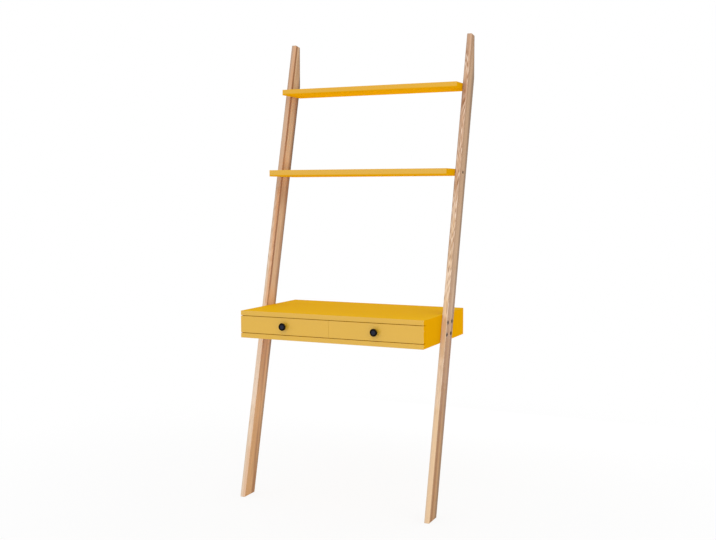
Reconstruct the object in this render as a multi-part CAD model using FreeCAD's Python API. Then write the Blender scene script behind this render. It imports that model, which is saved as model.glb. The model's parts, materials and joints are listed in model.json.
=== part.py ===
import FreeCAD, Part
import math
import os

# Leaning ladder desk: two ash side boards lean on a wall and carry a painted desk box with two
# drawers and two painted shelves. Lengths are in millimetres and angles in degrees.
# X runs to the right, Y towards the wall and Z up. The origin is on the floor, midway across the
# width, and midway between the fronts of the knobs and the wall.

Vec = FreeCAD.Vector
SIDES = {"left": -1, "right": 1}

# ---- Side boards ----
HEIGHT = 1800.0                 # floor to the top of the side boards
LEAN = 13.9                     # of the boards, away from upright
LEG_WIDTH = 75.0                # square across the board
LEG_THICKNESS = 19.0
TOP_END_DEPTH = 35.5            # of the board's top end, from its front to the wall
TOP_END_FALL = 5.0              # the top cut falls this much towards the wall
LEG_EDGE = 1.5                  # radius of the eased edges
CLEAR_WIDTH = 748.0             # between the side boards

# ---- Desk box ----
DESK_HEIGHT = 735.0             # floor to the writing surface
DESK_DEPTH = 442.0
DESK_OVERHANG = 197.0           # of the desk in front of the side boards, at the writing surface
PANEL = 18.0
BACK_THICKNESS = 12.0
PANEL_EDGE = 1.0                # radius of the eased edges

# ---- Shelves ----
SHELF_WALL_GAP = 1.0            # behind the upper shelf; the middle one ends in line with the desk box
SHELVES = {                     # top face below the boards' top end, overhang in front of them, thickness
    "upper": (195.0, 71.5, 22.0),
    "middle": (524.0, 102.0, 25.0),
}

# ---- Drawers ----
FRONT_HEIGHT = 64.0
FRONT_THICKNESS = 18.0
FRONT_GAP = 2.0                 # above and below the drawer fronts
FRONT_SPLIT = 0.6               # between the two drawer fronts
FRONT_SEAM = 1.0                # between a closed front and the box behind it
BOX_BOARD = 12.0                # sides, back and inner front of a drawer box
BOX_FLOOR = 4.0
BOX_FLOOR_LIFT = 10.0           # of the drawer floor above the lower edges of the drawer sides
GROOVE_DEPTH = 5.0
BOX_GAP_BELOW = 8.0
BOX_GAP_ABOVE = 10.0
BUMPER_DIAMETER = 7.0
BUMPER_RISE = 22.0              # of each bumper above or below the middle of the fronts
BUMPER_CLEARANCE = 0.1

# ---- Knobs ----
KNOB_DIAMETER = 29.0
KNOB_PROJECTION = 17.0
KNOB_RIM = 6.5                  # thickness of the head along its rounded rim
KNOB_RING = 0.8                 # flat ring between the rim's rounding and the dish
KNOB_DISH = 2.8                 # depth of the dish
KNOB_NECK_DIAMETER = 11.0
KNOB_FOOT_DIAMETER = 14.0
KNOB_FOOT = 2.0                 # thickness of the foot

# ---- Drawer runners, three nested channels on each side of a drawer ----
RUNNER_WIDTH = 12.7             # between the box's side and the drawer's side
RUNNER_HEIGHT = 35.0
RUNNER_SHEET = 1.2
RUNNER_SETBACK = 3.0            # behind the front edge of the box's sides
RUNNER_REAR_GAP = 8.0
FIXED_TIP_GAP = 3.7             # from the fixed channel's flanges to the drawer's side
MIDDLE_TIP_GAP = 2.4            # from the middle channel's flanges to the drawer's side
INNER_TIP_GAP = 0.6             # from the inner channel's flanges to the back of the middle channel
MIDDLE_GAP = 1.7                # between the backs of the fixed and middle channels
OUTER_GAP = 2.9                 # between the flanges of the fixed and middle channels
INNER_GAP = 2.2                 # between the flanges of the middle and inner channels
RUNNER_SCREW_INSET = 35.0       # from the ends of the runner to its first and last screws
RACE_DEPTH = 0.4                # of the grooves in the flanges, which the balls run in
RACE_CLEARANCE = 0.15           # around each ball
OUTER_RACE = 3.0                # from the middle channel's back to the outer balls
INNER_RACE = 4.1                # from the drawer's side to the inner balls
CAGE_LENGTH = 190.0             # of the strips that hold each row of balls
CAGE_WIDTH = 5.0
CAGE_THICKNESS = 0.6
CAGE_BALLS = 8                  # in each strip
CAGE_END = 7.5                  # from the strip's ends to its first and last balls

# ---- Wall hangers, steel plates let into the upright cuts of the side boards ----
HANGER_WIDTH = 13.0
HANGER_LENGTH = 50.0
HANGER_THICKNESS = 2.0
KEYHOLE_DIAMETER = 8.0
KEYHOLE_SLOT = 4.0
KEYHOLE_RISE = 9.0              # of the slot above the round hole
HANGER_SCREW_SPACING = 38.0
POCKET_DIAMETER = 10.0          # room behind the keyhole for the wall screw's head
POCKET_DEPTH = 9.0

# ---- Fasteners ----
CLEARANCE = 0.1                 # radial, around fasteners, dowels and grooved edges
BOLT_SPACING = 44.0             # of the four bolts on the desk box, along and up
# Each kind has its head's diameter and height, its shank, the width of its hexagon socket, whether its
# head is sunk flush, the thickness of the piece it passes through, and its grip in the next piece.
LEG_BOLT = {
    "head": 12.0, "tall": 3.6, "shank": 6.0, "drive": 4.0, "sunk": True,
    "through": LEG_THICKNESS, "grip": 11.0,
}
DESK_SCREW = {
    "head": 8.0, "tall": 3.0, "shank": 4.0, "drive": 2.5, "sunk": True,
    "through": PANEL, "grip": 27.0,
}
RUNNER_SCREW = {
    "head": 6.5, "tall": 1.2, "shank": 3.5, "drive": 2.0, "sunk": False,
    "through": RUNNER_SHEET, "grip": 9.0,
}
BOX_SCREW = {
    "head": 6.5, "tall": 2.4, "shank": 3.5, "drive": 2.0, "sunk": True,
    "through": BOX_BOARD, "grip": 20.0,
}
FRONT_SCREW = {
    "head": 7.5, "tall": 2.2, "shank": 3.5, "drive": 2.0, "sunk": False,
    "through": BOX_BOARD, "grip": 12.0,
}
KNOB_SCREW = {
    "head": 8.0, "tall": 2.4, "shank": 4.0, "drive": 2.5, "sunk": False,
    "through": BOX_BOARD + FRONT_THICKNESS, "grip": 10.0,
}
HANGER_SCREW = {
    "head": 5.4, "tall": 1.8, "shank": 3.0, "drive": 1.5, "sunk": True,
    "through": HANGER_THICKNESS, "grip": 16.0,
}
INSERT_DIAMETER = 9.0           # threaded inserts that take the leg bolts
INSERT_LENGTH = 13.0
DOWEL_DIAMETER = 8.0
DOWEL_LENGTH = 35.0
DOWEL_IN_FACE = 11.0            # how far each dowel enters the face of a side board or the desk top
SHELF_DOWELS = {                # of each end of a shelf, behind the middle of the side board
    "upper": (-24.0, 0.0, 24.0),
    "middle": (-24.0, 24.0),    # in front of and behind its bolt
}
JOINT_INSET = 40.0              # from a panel's ends to its dowels and screws
BACK_JOINT_REACH = 130.0        # of the back's dowels and screws from the middle of each bay
BOX_SCREW_INSET = 6.5           # from the upper and lower edges of a drawer's sides
FRONT_SCREW_INSET = 45.0        # from the ends of the inner front
FRONT_SCREW_RISE = 9.0          # above or below the middle of the inner front's clear height

# ---- Places that follow from the sizes above ----
SLOPE = math.tan(math.radians(LEAN))
LEG_DEPTH = LEG_WIDTH / math.cos(math.radians(LEAN))        # across the board along Y
FOOT_REACH = TOP_END_DEPTH + HEIGHT * SLOPE                 # wall to the front of the foot
DESK_REACH = FOOT_REACH - DESK_HEIGHT * SLOPE + DESK_OVERHANG
WALL = (DESK_REACH + KNOB_PROJECTION) / 2
HALF = CLEAR_WIDTH / 2
DESK_FRONT = WALL - DESK_REACH
DESK_BACK = DESK_FRONT + DESK_DEPTH
SHELF_BACKS = {"upper": WALL - SHELF_WALL_GAP, "middle": DESK_BACK}
BOX_FRONT = DESK_FRONT + FRONT_THICKNESS + FRONT_SEAM       # front edges of the box's sides
BAY_BACK = DESK_BACK - BACK_THICKNESS
BAY_TOP = DESK_HEIGHT - PANEL
BAY_BOTTOM = BAY_TOP - FRONT_HEIGHT - 2 * FRONT_GAP
DESK_BOTTOM = BAY_BOTTOM - PANEL
FRONT_MIDDLE = (BAY_TOP + BAY_BOTTOM) / 2
BAY_INNER = PANEL / 2                                       # bays start here, each side of the middle
BAY_OUTER = HALF - PANEL
RUNNER_START = BOX_FRONT + RUNNER_SETBACK
RUNNER_END = BAY_BACK - RUNNER_REAR_GAP
BOX_BOTTOM = BAY_BOTTOM + BOX_GAP_BELOW
BOX_TOP = BAY_TOP - BOX_GAP_ABOVE
RUNNER_MIDDLE = (BOX_BOTTOM + BOX_TOP) / 2
INNER_FRONT = DESK_FRONT + FRONT_THICKNESS                  # rear face of the drawer fronts
MIDDLE_INSET = RUNNER_SHEET + MIDDLE_GAP
MIDDLE_HEIGHT = RUNNER_HEIGHT - 2 * (RUNNER_SHEET + OUTER_GAP)
INNER_HEIGHT = MIDDLE_HEIGHT - 2 * (RUNNER_SHEET + INNER_GAP)
# Each race has its distance from the wall of the bay, its height above and below the runner's middle,
# and the diameter of its balls.
RACES = {
    "outer": (
        MIDDLE_INSET + OUTER_RACE,
        (MIDDLE_HEIGHT + OUTER_GAP) / 2,
        OUTER_GAP + 2 * (RACE_DEPTH - RACE_CLEARANCE),
    ),
    "inner": (
        RUNNER_WIDTH - INNER_RACE,
        (INNER_HEIGHT + INNER_GAP) / 2,
        INNER_GAP + 2 * (RACE_DEPTH - RACE_CLEARANCE),
    ),
}
CUT_BOTTOM = (FOOT_REACH - LEG_DEPTH) / SLOPE               # where the upright cut begins
HANGER_MIDDLE = (CUT_BOTTOM + HEIGHT - TOP_END_FALL) / 2


def box(x, y, z):
    """A block from pairs of limits, in any order."""
    low = Vec(min(x), min(y), min(z))
    return Part.makeBox(abs(x[1] - x[0]), abs(y[1] - y[0]), abs(z[1] - z[0]), low)


def rod(diameter, start, end):
    """A round bar between two points."""
    return Part.makeCylinder(diameter / 2, (end - start).Length, start, end - start)


def eased(solid, radius, chosen=lambda middle: True):
    """Rounds the edges whose middle points are chosen."""
    edges = [edge for edge in solid.Edges if chosen(edge.CenterOfMass)]
    return solid.makeFillet(radius, edges)


def near(value, target):
    return abs(value - target) < 0.01


def drilled(solid, *tools):
    """Cuts tools, or lists of tools, out of a solid."""
    flat = [tool for group in tools for tool in (group if isinstance(group, list) else [group])]
    return solid.cut(flat)


def fastener(kind, point, out, grow=0.0):
    """A screw with its head on a point of the surface, and its shank pointing against the direction out.

    Grown by a clearance, the same form is the tool that cuts its hole.
    """
    head = kind["head"] / 2 + grow
    shank = kind["shank"] / 2 + grow
    tip = -kind["through"] - kind["grip"] - grow
    tall = kind["tall"]
    if kind["sunk"]:
        rim = [(0, 0), (head, 0), (shank, -tall)]
    else:
        rim = [(0, tall), (head, tall), (head, 0), (shank, 0)]
    outline = rim + [(shank, tip), (0, tip), rim[0]]
    face = Part.Face(Part.makePolygon([Vec(radius, 0, along) for radius, along in outline]))
    solid = face.revolve(Vec(0, 0, 0), Vec(0, 0, 1), 360)
    if not grow:
        solid = solid.cut(hex_socket(kind))
    solid.Placement = FreeCAD.Placement(point, FreeCAD.Rotation(Vec(0, 0, 1), out))
    return solid


def hex_socket(kind):
    """The six-sided socket in a fastener's head, two thirds as deep as the head is tall."""
    corner = kind["drive"] / math.sqrt(3)
    top = 0.0 if kind["sunk"] else kind["tall"]
    depth = kind["tall"] * 2 / 3
    turns = [math.radians(60 * step) for step in range(7)]
    ring = [Vec(corner * math.cos(turn), corner * math.sin(turn), top - depth) for turn in turns]
    return Part.Face(Part.makePolygon(ring)).extrude(Vec(0, 0, depth))


def fasteners(kind, points, out, grow=0.0):
    return [fastener(kind, point, out, grow) for point in points]


def save(nodes):
    """Writes one STEP file for each node; a list of solids becomes one group."""
    os.makedirs("parts", exist_ok=True)
    for name, shape in nodes.items():
        whole = Part.makeCompound(shape) if isinstance(shape, list) else shape
        whole.exportStep("parts/" + name + ".step")
        print(name, len(whole.Solids), "solids", round(whole.Volume / 1000, 2), "cm3")


# ---- Side boards ----

def leg_front(z):
    """Y of the boards' front edge at a height."""
    return WALL - FOOT_REACH + z * SLOPE


def leg_middle(z):
    return leg_front(z) + LEG_DEPTH / 2


def desk_bolt_places():
    """Y and Z of the four bolts that carry one end of the desk box."""
    places = []
    for rise in (-BOLT_SPACING / 2, BOLT_SPACING / 2):
        z = FRONT_MIDDLE + rise
        places += [(leg_middle(z) - BOLT_SPACING / 2, z), (leg_middle(z) + BOLT_SPACING / 2, z)]
    return places


def shelf_joint(name):
    """Y and Z of the middle of a shelf's joint with the side boards."""
    drop, overhang, thickness = SHELVES[name]
    z = HEIGHT - drop - thickness / 2
    return leg_middle(z), z


def leg_bolt_places():
    """Y and Z of every bolt of a side board: the desk box and the middle shelf are bolted."""
    return desk_bolt_places() + [shelf_joint("middle")]


def leg_bolt_points(side):
    return [Vec(side * (HALF + LEG_THICKNESS), y, z) for y, z in leg_bolt_places()]


def inserts(side, places, grow=0.0):
    """Threaded inserts let into the end of a panel or shelf, flush with its face."""
    rods = []
    for y, z in places:
        start = Vec(side * HALF, y, z)
        end = Vec(side * (HALF - INSERT_LENGTH - grow), y, z)
        rods.append(rod(INSERT_DIAMETER + 2 * grow, start, end))
    return rods


def insert_solids(side):
    """The inserts, bored for their bolts."""
    solids = []
    for blank in inserts(side, leg_bolt_places()):
        middle = blank.CenterOfMass
        reach = Vec(INSERT_LENGTH, 0, 0)
        solids.append(blank.cut(rod(LEG_BOLT["shank"] + 2 * CLEARANCE, middle - reach, middle + reach)))
    return solids


def shelf_dowels(side, grow=0.0):
    """The dowels across each shelf joint; the upper shelf is held by them alone."""
    dowels = []
    for name, offsets in SHELF_DOWELS.items():
        y, z = shelf_joint(name)
        for offset in offsets:
            start = Vec(side * (HALF + DOWEL_IN_FACE - DOWEL_LENGTH - grow), y + offset, z)
            end = Vec(side * (HALF + DOWEL_IN_FACE + grow), y + offset, z)
            dowels.append(rod(DOWEL_DIAMETER + 2 * grow, start, end))
    return dowels


def leg(side):
    """A straight board, cut level at the floor and upright where it meets the wall."""
    inner = side * HALF
    outline = [
        (leg_front(0), 0),
        (leg_front(0) + LEG_DEPTH, 0),
        (WALL, CUT_BOTTOM),
        (WALL, HEIGHT - TOP_END_FALL),
        (leg_front(HEIGHT), HEIGHT),
    ]
    points = [Vec(inner, y, z) for y, z in outline + outline[:1]]
    board = Part.Face(Part.makePolygon(points)).extrude(Vec(side * LEG_THICKNESS, 0, 0))
    shoulder = Vec(inner + side * LEG_THICKNESS / 2, WALL, CUT_BOTTOM)
    board = eased(board, LEG_EDGE, lambda middle: (middle - shoulder).Length > 1)
    bolt_holes = fasteners(LEG_BOLT, leg_bolt_points(side), Vec(side, 0, 0), CLEARANCE)
    screw_holes = fasteners(HANGER_SCREW, hanger_screw_points(side), Vec(0, 1, 0), CLEARANCE)
    return drilled(board, bolt_holes, shelf_dowels(side, CLEARANCE), hanger_recess(side), screw_holes)


# ---- Wall hangers ----

def hanger_x(side):
    return side * (HALF + LEG_THICKNESS / 2)


def hanger_blank(side, width, length, depth):
    x = hanger_x(side)
    upright = (HANGER_MIDDLE - length / 2, HANGER_MIDDLE + length / 2)
    return box((x - width / 2, x + width / 2), (WALL - depth, WALL), upright)


def keyhole(side, round_diameter, slot, start, end):
    """A round hole with a slot above it, cut from Y start to Y end."""
    x = hanger_x(side)
    hole = rod(round_diameter, Vec(x, start, HANGER_MIDDLE), Vec(x, end, HANGER_MIDDLE))
    crown = HANGER_MIDDLE + KEYHOLE_RISE
    arch = rod(slot, Vec(x, start, crown), Vec(x, end, crown))
    return hole.fuse([arch, box((x - slot / 2, x + slot / 2), (start, end), (HANGER_MIDDLE, crown))])


def hanger_recess(side):
    """The seat of the plate, and the pocket behind it for the head of the wall screw."""
    seat = hanger_blank(side, HANGER_WIDTH + 2 * CLEARANCE, HANGER_LENGTH + 2 * CLEARANCE, HANGER_THICKNESS)
    floor = WALL - HANGER_THICKNESS
    return [seat, keyhole(side, POCKET_DIAMETER, POCKET_DIAMETER, floor - POCKET_DEPTH, floor)]


def hanger_screw_points(side):
    x = hanger_x(side)
    rises = (-HANGER_SCREW_SPACING / 2, HANGER_SCREW_SPACING / 2)
    return [Vec(x, WALL, HANGER_MIDDLE + rise) for rise in rises]


def hanger(side):
    """A steel plate with a keyhole and two countersunk holes."""
    plate = hanger_blank(side, HANGER_WIDTH, HANGER_LENGTH, HANGER_THICKNESS)
    hole = keyhole(side, KEYHOLE_DIAMETER, KEYHOLE_SLOT, WALL - HANGER_THICKNESS, WALL)
    return drilled(plate, hole, fasteners(HANGER_SCREW, hanger_screw_points(side), Vec(0, 1, 0), CLEARANCE))


# ---- Shelves ----

def shelf(name):
    """A painted board between the side boards, from its overhang to its back edge."""
    drop, overhang, thickness = SHELVES[name]
    top = HEIGHT - drop
    depth = (leg_front(top) - overhang, SHELF_BACKS[name])
    board = eased(box((-HALF, HALF), depth, (top - thickness, top)), PANEL_EDGE)
    return drilled(board, *[end_holes(side) for side in SIDES.values()])


def end_holes(side):
    """Every hole that enters a panel or shelf through its end."""
    return inserts(side, leg_bolt_places(), CLEARANCE) + bolt_tips(side) + shelf_dowels(side, CLEARANCE)


def bolt_tips(side):
    """Room for the ends of the bolts."""
    return fasteners(LEG_BOLT, leg_bolt_points(side), Vec(side, 0, 0), CLEARANCE)


# ---- Desk box ----

def upright_joint_places():
    """X and Y of the dowels and screws that join the box's upright boards to its top and bottom."""
    ends = (BOX_FRONT + JOINT_INSET, BAY_BACK - JOINT_INSET)
    places = [(x, y) for x in (-HALF + PANEL / 2, 0, HALF - PANEL / 2) for y in ends]
    bay_middle = (BAY_INNER + BAY_OUTER) / 2
    for side in SIDES.values():
        for offset in (-BACK_JOINT_REACH, BACK_JOINT_REACH):
            places.append((side * bay_middle + offset, (BAY_BACK + DESK_BACK) / 2))
    return places


def desk_dowels(grow=0.0):
    dowels = []
    for x, y in upright_joint_places():
        start = Vec(x, y, BAY_TOP + DOWEL_IN_FACE - DOWEL_LENGTH - grow)
        end = Vec(x, y, BAY_TOP + DOWEL_IN_FACE + grow)
        dowels.append(rod(DOWEL_DIAMETER + 2 * grow, start, end))
    return dowels


def desk_screws(grow=0.0):
    points = [Vec(x, y, DESK_BOTTOM) for x, y in upright_joint_places()]
    return fasteners(DESK_SCREW, points, Vec(0, 0, -1), grow)


def desk_panel(low, outer, inner):
    """The box's top or bottom board, eased on its outer face, its corners and its front edge."""
    board = box((-HALF, HALF), (DESK_FRONT, DESK_BACK), (low, low + PANEL))

    def shown(middle):
        corner = near(abs(middle.x), HALF) and (near(middle.y, DESK_FRONT) or near(middle.y, DESK_BACK))
        front = near(middle.z, inner) and near(middle.y, DESK_FRONT)
        return near(middle.z, outer) or corner or front

    return drilled(eased(board, PANEL_EDGE, shown), desk_dowels(CLEARANCE), desk_screws(CLEARANCE))


def desk_side(side):
    board = box((side * BAY_OUTER, side * HALF), (BOX_FRONT, DESK_BACK), (BAY_BOTTOM, BAY_TOP))

    def outer_back(middle):
        return near(middle.x, side * HALF) and near(middle.y, DESK_BACK)

    board = eased(board, PANEL_EDGE, outer_back)
    tools = [end_holes(side), desk_dowels(CLEARANCE), desk_screws(CLEARANCE), desk_runner_screws(CLEARANCE)]
    return drilled(board, *tools)


def desk_divider():
    board = box((-BAY_INNER, BAY_INNER), (BOX_FRONT, BAY_BACK), (BAY_BOTTOM, BAY_TOP))
    return drilled(board, desk_dowels(CLEARANCE), desk_screws(CLEARANCE), desk_runner_screws(CLEARANCE))


def desk_back():
    board = box((-BAY_OUTER, BAY_OUTER), (BAY_BACK, DESK_BACK), (BAY_BOTTOM, BAY_TOP))
    return drilled(board, desk_dowels(CLEARANCE), desk_screws(CLEARANCE))


def front_bumpers():
    """Clear buttons on the box's front edges, which stop the closed drawer fronts."""
    bumpers = []
    thickness = FRONT_SEAM - BUMPER_CLEARANCE
    for x in (-HALF + PANEL / 2, -PANEL / 4, PANEL / 4, HALF - PANEL / 2):
        for z in (FRONT_MIDDLE - BUMPER_RISE, FRONT_MIDDLE + BUMPER_RISE):
            bumpers.append(rod(BUMPER_DIAMETER, Vec(x, BOX_FRONT, z), Vec(x, BOX_FRONT - thickness, z)))
    return bumpers


# ---- Runners ----

def runner_edges():
    """X of the bay wall behind each runner of each drawer, and the direction from it into the bay."""
    edges = {}
    for drawer, side in SIDES.items():
        for name, towards in SIDES.items():
            wall = BAY_OUTER if towards == side else BAY_INNER
            edges[drawer, name] = (side * wall, -towards)
    return edges


def channel(back, towards, reach, height):
    """A runner channel along Y: its back is at X back, and its flanges reach towards the other side."""
    tip = back + towards * reach
    inner = back + towards * RUNNER_SHEET
    half = height / 2
    outline = [
        (back, -half), (tip, -half), (tip, -half + RUNNER_SHEET), (inner, -half + RUNNER_SHEET),
        (inner, half - RUNNER_SHEET), (tip, half - RUNNER_SHEET), (tip, half), (back, half),
    ]
    points = [Vec(x, RUNNER_START, RUNNER_MIDDLE + z) for x, z in outline + outline[:1]]
    return Part.Face(Part.makePolygon(points)).extrude(Vec(0, RUNNER_END - RUNNER_START, 0))


def runner_screw_ys():
    """Y of the three screws in each fixed or inner channel."""
    first = RUNNER_START + RUNNER_SCREW_INSET
    last = RUNNER_END - RUNNER_SCREW_INSET
    return (first, (first + last) / 2, last)


def runner_screws(seat, into_wall, grow=0.0):
    """Screws through a channel's back, with their heads on the channel's inner face."""
    points = [Vec(seat, y, RUNNER_MIDDLE) for y in runner_screw_ys()]
    return fasteners(RUNNER_SCREW, points, Vec(-into_wall, 0, 0), grow)


def desk_runner_screws(grow=0.0):
    screws = []
    for edge, inward in runner_edges().values():
        screws += runner_screws(edge + inward * RUNNER_SHEET, -inward, grow)
    return screws


def drawer_runner_screws(drawer, grow=0.0):
    screws = []
    for (owner, name), (edge, inward) in runner_edges().items():
        if owner == drawer:
            screws += runner_screws(edge + inward * (RUNNER_WIDTH - RUNNER_SHEET), inward, grow)
    return screws


def race_lines(edge, inward, race):
    """X and Z of the upper and lower rows of balls of one race in one runner."""
    inset, rise, ball = RACES[race]
    x = edge + inward * inset
    return [(x, RUNNER_MIDDLE - rise), (x, RUNNER_MIDDLE + rise)]


def race_grooves(edge, inward, race):
    inset, rise, ball = RACES[race]
    lines = race_lines(edge, inward, race)
    ends = (RUNNER_START - RUNNER_SHEET, RUNNER_END + RUNNER_SHEET)
    return [rod(ball + 2 * RACE_CLEARANCE, Vec(x, ends[0], z), Vec(x, ends[1], z)) for x, z in lines]


def runner(drawer, name):
    """The fixed, middle and inner channels of one runner, with the grooves that their balls run in."""
    edge, inward = runner_edges()[drawer, name]
    fixed = channel(edge, inward, RUNNER_WIDTH - FIXED_TIP_GAP, RUNNER_HEIGHT)
    middle_reach = RUNNER_WIDTH - MIDDLE_INSET - MIDDLE_TIP_GAP
    middle = channel(edge + inward * MIDDLE_INSET, inward, middle_reach, MIDDLE_HEIGHT)
    inner_reach = RUNNER_WIDTH - MIDDLE_INSET - RUNNER_SHEET - INNER_TIP_GAP
    inner = channel(edge + inward * RUNNER_WIDTH, -inward, inner_reach, INNER_HEIGHT)
    outer_grooves = race_grooves(edge, inward, "outer")
    inner_grooves = race_grooves(edge, inward, "inner")
    return {
        "fixed_channel": drilled(fixed, outer_grooves, desk_runner_screws(CLEARANCE)),
        "middle_channel": drilled(middle, outer_grooves, inner_grooves),
        "inner_channel": drilled(inner, inner_grooves, drawer_runner_screws(drawer, CLEARANCE)),
    }


def ball_rows(drawer, race):
    """X and Z of every row of balls of one race in both runners of a drawer."""
    rows = []
    for (owner, name), (edge, inward) in runner_edges().items():
        if owner == drawer:
            rows += race_lines(edge, inward, race)
    return rows


def cage_limits():
    """Y limits of the cages with the drawer closed, about the runner's middle."""
    middle = (RUNNER_START + RUNNER_END) / 2
    return middle - CAGE_LENGTH / 2, middle + CAGE_LENGTH / 2


def ball_ys():
    start, end = cage_limits()
    pitch = (CAGE_LENGTH - 2 * CAGE_END) / (CAGE_BALLS - 1)
    return [start + CAGE_END + step * pitch for step in range(CAGE_BALLS)]


def balls(drawer, race):
    inset, rise, ball = RACES[race]
    return [Part.makeSphere(ball / 2, Vec(x, y, z)) for x, z in ball_rows(drawer, race) for y in ball_ys()]


def ball_cages(drawer, race):
    """Flat strips with a round hole for each ball, midway between two flanges."""
    inset, rise, ball = RACES[race]
    reach = Vec(0, 0, ball / 2)
    cages = []
    for x, z in ball_rows(drawer, race):
        width = (x - CAGE_WIDTH / 2, x + CAGE_WIDTH / 2)
        strip = box(width, cage_limits(), (z - CAGE_THICKNESS / 2, z + CAGE_THICKNESS / 2))
        centres = [Vec(x, y, z) for y in ball_ys()]
        holes = [rod(ball + 2 * CLEARANCE, centre - reach, centre + reach) for centre in centres]
        cages.append(drilled(strip, holes))
    return cages


# ---- Drawers ----

def drawer_limits(side):
    """X limits of a drawer box, from its left to its right."""
    ends = (side * (BAY_INNER + RUNNER_WIDTH), side * (BAY_OUTER - RUNNER_WIDTH))
    return min(ends), max(ends)


def front_middle(side):
    """X of the middle of a drawer front, where its knob sits."""
    return side * (HALF + FRONT_SPLIT / 2) / 2


def floor_board(side, grow=0.0):
    """The drawer's floor, whose edges sit in the grooves of the four boards."""
    low, high = drawer_limits(side)
    edge = BOX_BOARD - GROOVE_DEPTH - grow
    z = BOX_BOTTOM + BOX_FLOOR_LIFT
    depth = (INNER_FRONT + edge, RUNNER_END - edge)
    return box((low + edge, high - edge), depth, (z - grow, z + BOX_FLOOR + grow))


def box_screws(side, grow=0.0):
    """Countersunk screws through the drawer's sides into its back and inner front."""
    low, high = drawer_limits(side)
    screws = []
    for x, out in ((low, -1), (high, 1)):
        for y in (INNER_FRONT + BOX_BOARD / 2, RUNNER_END - BOX_BOARD / 2):
            heights = (BOX_BOTTOM + BOX_SCREW_INSET, BOX_TOP - BOX_SCREW_INSET)
            points = [Vec(x, y, z) for z in heights]
            screws += fasteners(BOX_SCREW, points, Vec(out, 0, 0), grow)
    return screws


def front_screws(side, grow=0.0):
    """Screws through the inner front into the painted front."""
    low, high = drawer_limits(side)
    clear_middle = (BOX_BOTTOM + BOX_FLOOR_LIFT + BOX_FLOOR + BOX_TOP) / 2
    points = []
    for x in (low + BOX_BOARD + FRONT_SCREW_INSET, high - BOX_BOARD - FRONT_SCREW_INSET):
        for rise in (-FRONT_SCREW_RISE, FRONT_SCREW_RISE):
            points.append(Vec(x, INNER_FRONT + BOX_BOARD, clear_middle + rise))
    return fasteners(FRONT_SCREW, points, Vec(0, 1, 0), grow)


def knob_screw(side, grow=0.0):
    """The machine screw from inside the drawer into the knob."""
    seat = Vec(front_middle(side), INNER_FRONT + BOX_BOARD, FRONT_MIDDLE)
    return fastener(KNOB_SCREW, seat, Vec(0, 1, 0), grow)


def knob_profile():
    """Half of the knob's outline as radius and distance from the drawer front, closed along its axis."""
    foot = KNOB_FOOT_DIAMETER / 2
    neck = KNOB_NECK_DIAMETER / 2
    head = KNOB_DIAMETER / 2
    rounding = KNOB_RIM / 2
    shoulder = KNOB_PROJECTION - KNOB_RIM
    collar = (neck + head - rounding) / 2
    dish = head - rounding - KNOB_RING
    floor = KNOB_PROJECTION - KNOB_DISH
    ball = (dish * dish + KNOB_DISH * KNOB_DISH) / (2 * KNOB_DISH)      # radius of the dish's hollow
    half_way = floor + ball - math.sqrt(ball * ball - dish * dish / 4)

    def point(radius, out):
        return Vec(radius, 0, out)

    def line(start, end):
        return Part.LineSegment(start, end).toShape()

    def arc(start, through, end):
        return Part.Arc(start, through, end).toShape()

    return Part.Wire([
        line(point(0, 0), point(foot, 0)),
        line(point(foot, 0), point(foot, KNOB_FOOT)),
        arc(point(foot, KNOB_FOOT), point(neck, (KNOB_FOOT + shoulder) / 2), point(collar, shoulder)),
        line(point(collar, shoulder), point(head - rounding, shoulder)),
        arc(
            point(head - rounding, shoulder),
            point(head, shoulder + rounding),
            point(head - rounding, KNOB_PROJECTION),
        ),
        line(point(head - rounding, KNOB_PROJECTION), point(dish, KNOB_PROJECTION)),
        arc(point(dish, KNOB_PROJECTION), point(dish / 2, half_way), point(0, floor)),
        line(point(0, floor), point(0, 0)),
    ])


def knob(side):
    """A turned knob: a foot on the front, a waisted neck, and a round head with a dished face."""
    solid = Part.Face(knob_profile()).revolve(Vec(0, 0, 0), Vec(0, 0, 1), 360)
    seat = Vec(front_middle(side), DESK_FRONT, FRONT_MIDDLE)
    solid.Placement = FreeCAD.Placement(seat, FreeCAD.Rotation(Vec(0, 0, 1), Vec(0, -1, 0)))
    return drilled(solid, knob_screw(side, CLEARANCE))


def drawer_front(side):
    """A painted front; its rear edges and the edges that meet the other front are left square."""
    ends = (side * FRONT_SPLIT / 2, side * HALF)
    board = box(ends, (DESK_FRONT, INNER_FRONT), (BAY_BOTTOM + FRONT_GAP, BAY_TOP - FRONT_GAP))
    board = eased(board, PANEL_EDGE, lambda at: not (near(at.y, INNER_FRONT) or near(at.x, ends[0])))
    return drilled(board, front_screws(side, CLEARANCE), knob_screw(side, CLEARANCE))


def drawer(name):
    """Every piece that moves with one drawer, apart from its runners."""
    side = SIDES[name]
    low, high = drawer_limits(side)
    tall = (BOX_BOTTOM, BOX_TOP)
    between = (low + BOX_BOARD, high - BOX_BOARD)
    tools = [floor_board(side, CLEARANCE), box_screws(side, CLEARANCE), front_screws(side, CLEARANCE)]
    tools += [knob_screw(side, CLEARANCE), drawer_runner_screws(name, CLEARANCE)]
    boards = {
        "front": drawer_front(side),
        "inner_front": box(between, (INNER_FRONT, INNER_FRONT + BOX_BOARD), tall),
        "side_left": box((low, low + BOX_BOARD), (INNER_FRONT, RUNNER_END), tall),
        "side_right": box((high - BOX_BOARD, high), (INNER_FRONT, RUNNER_END), tall),
        "back": box(between, (RUNNER_END - BOX_BOARD, RUNNER_END), tall),
    }
    for board in ("inner_front", "side_left", "side_right", "back"):
        boards[board] = drilled(boards[board], *tools)
    return boards | {
        "floor": floor_board(side),
        "knob": knob(side),
        "knob_screw": knob_screw(side),
        "front_screws": front_screws(side),
        "box_screws": box_screws(side),
        "runner_screws": drawer_runner_screws(name),
    }


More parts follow.
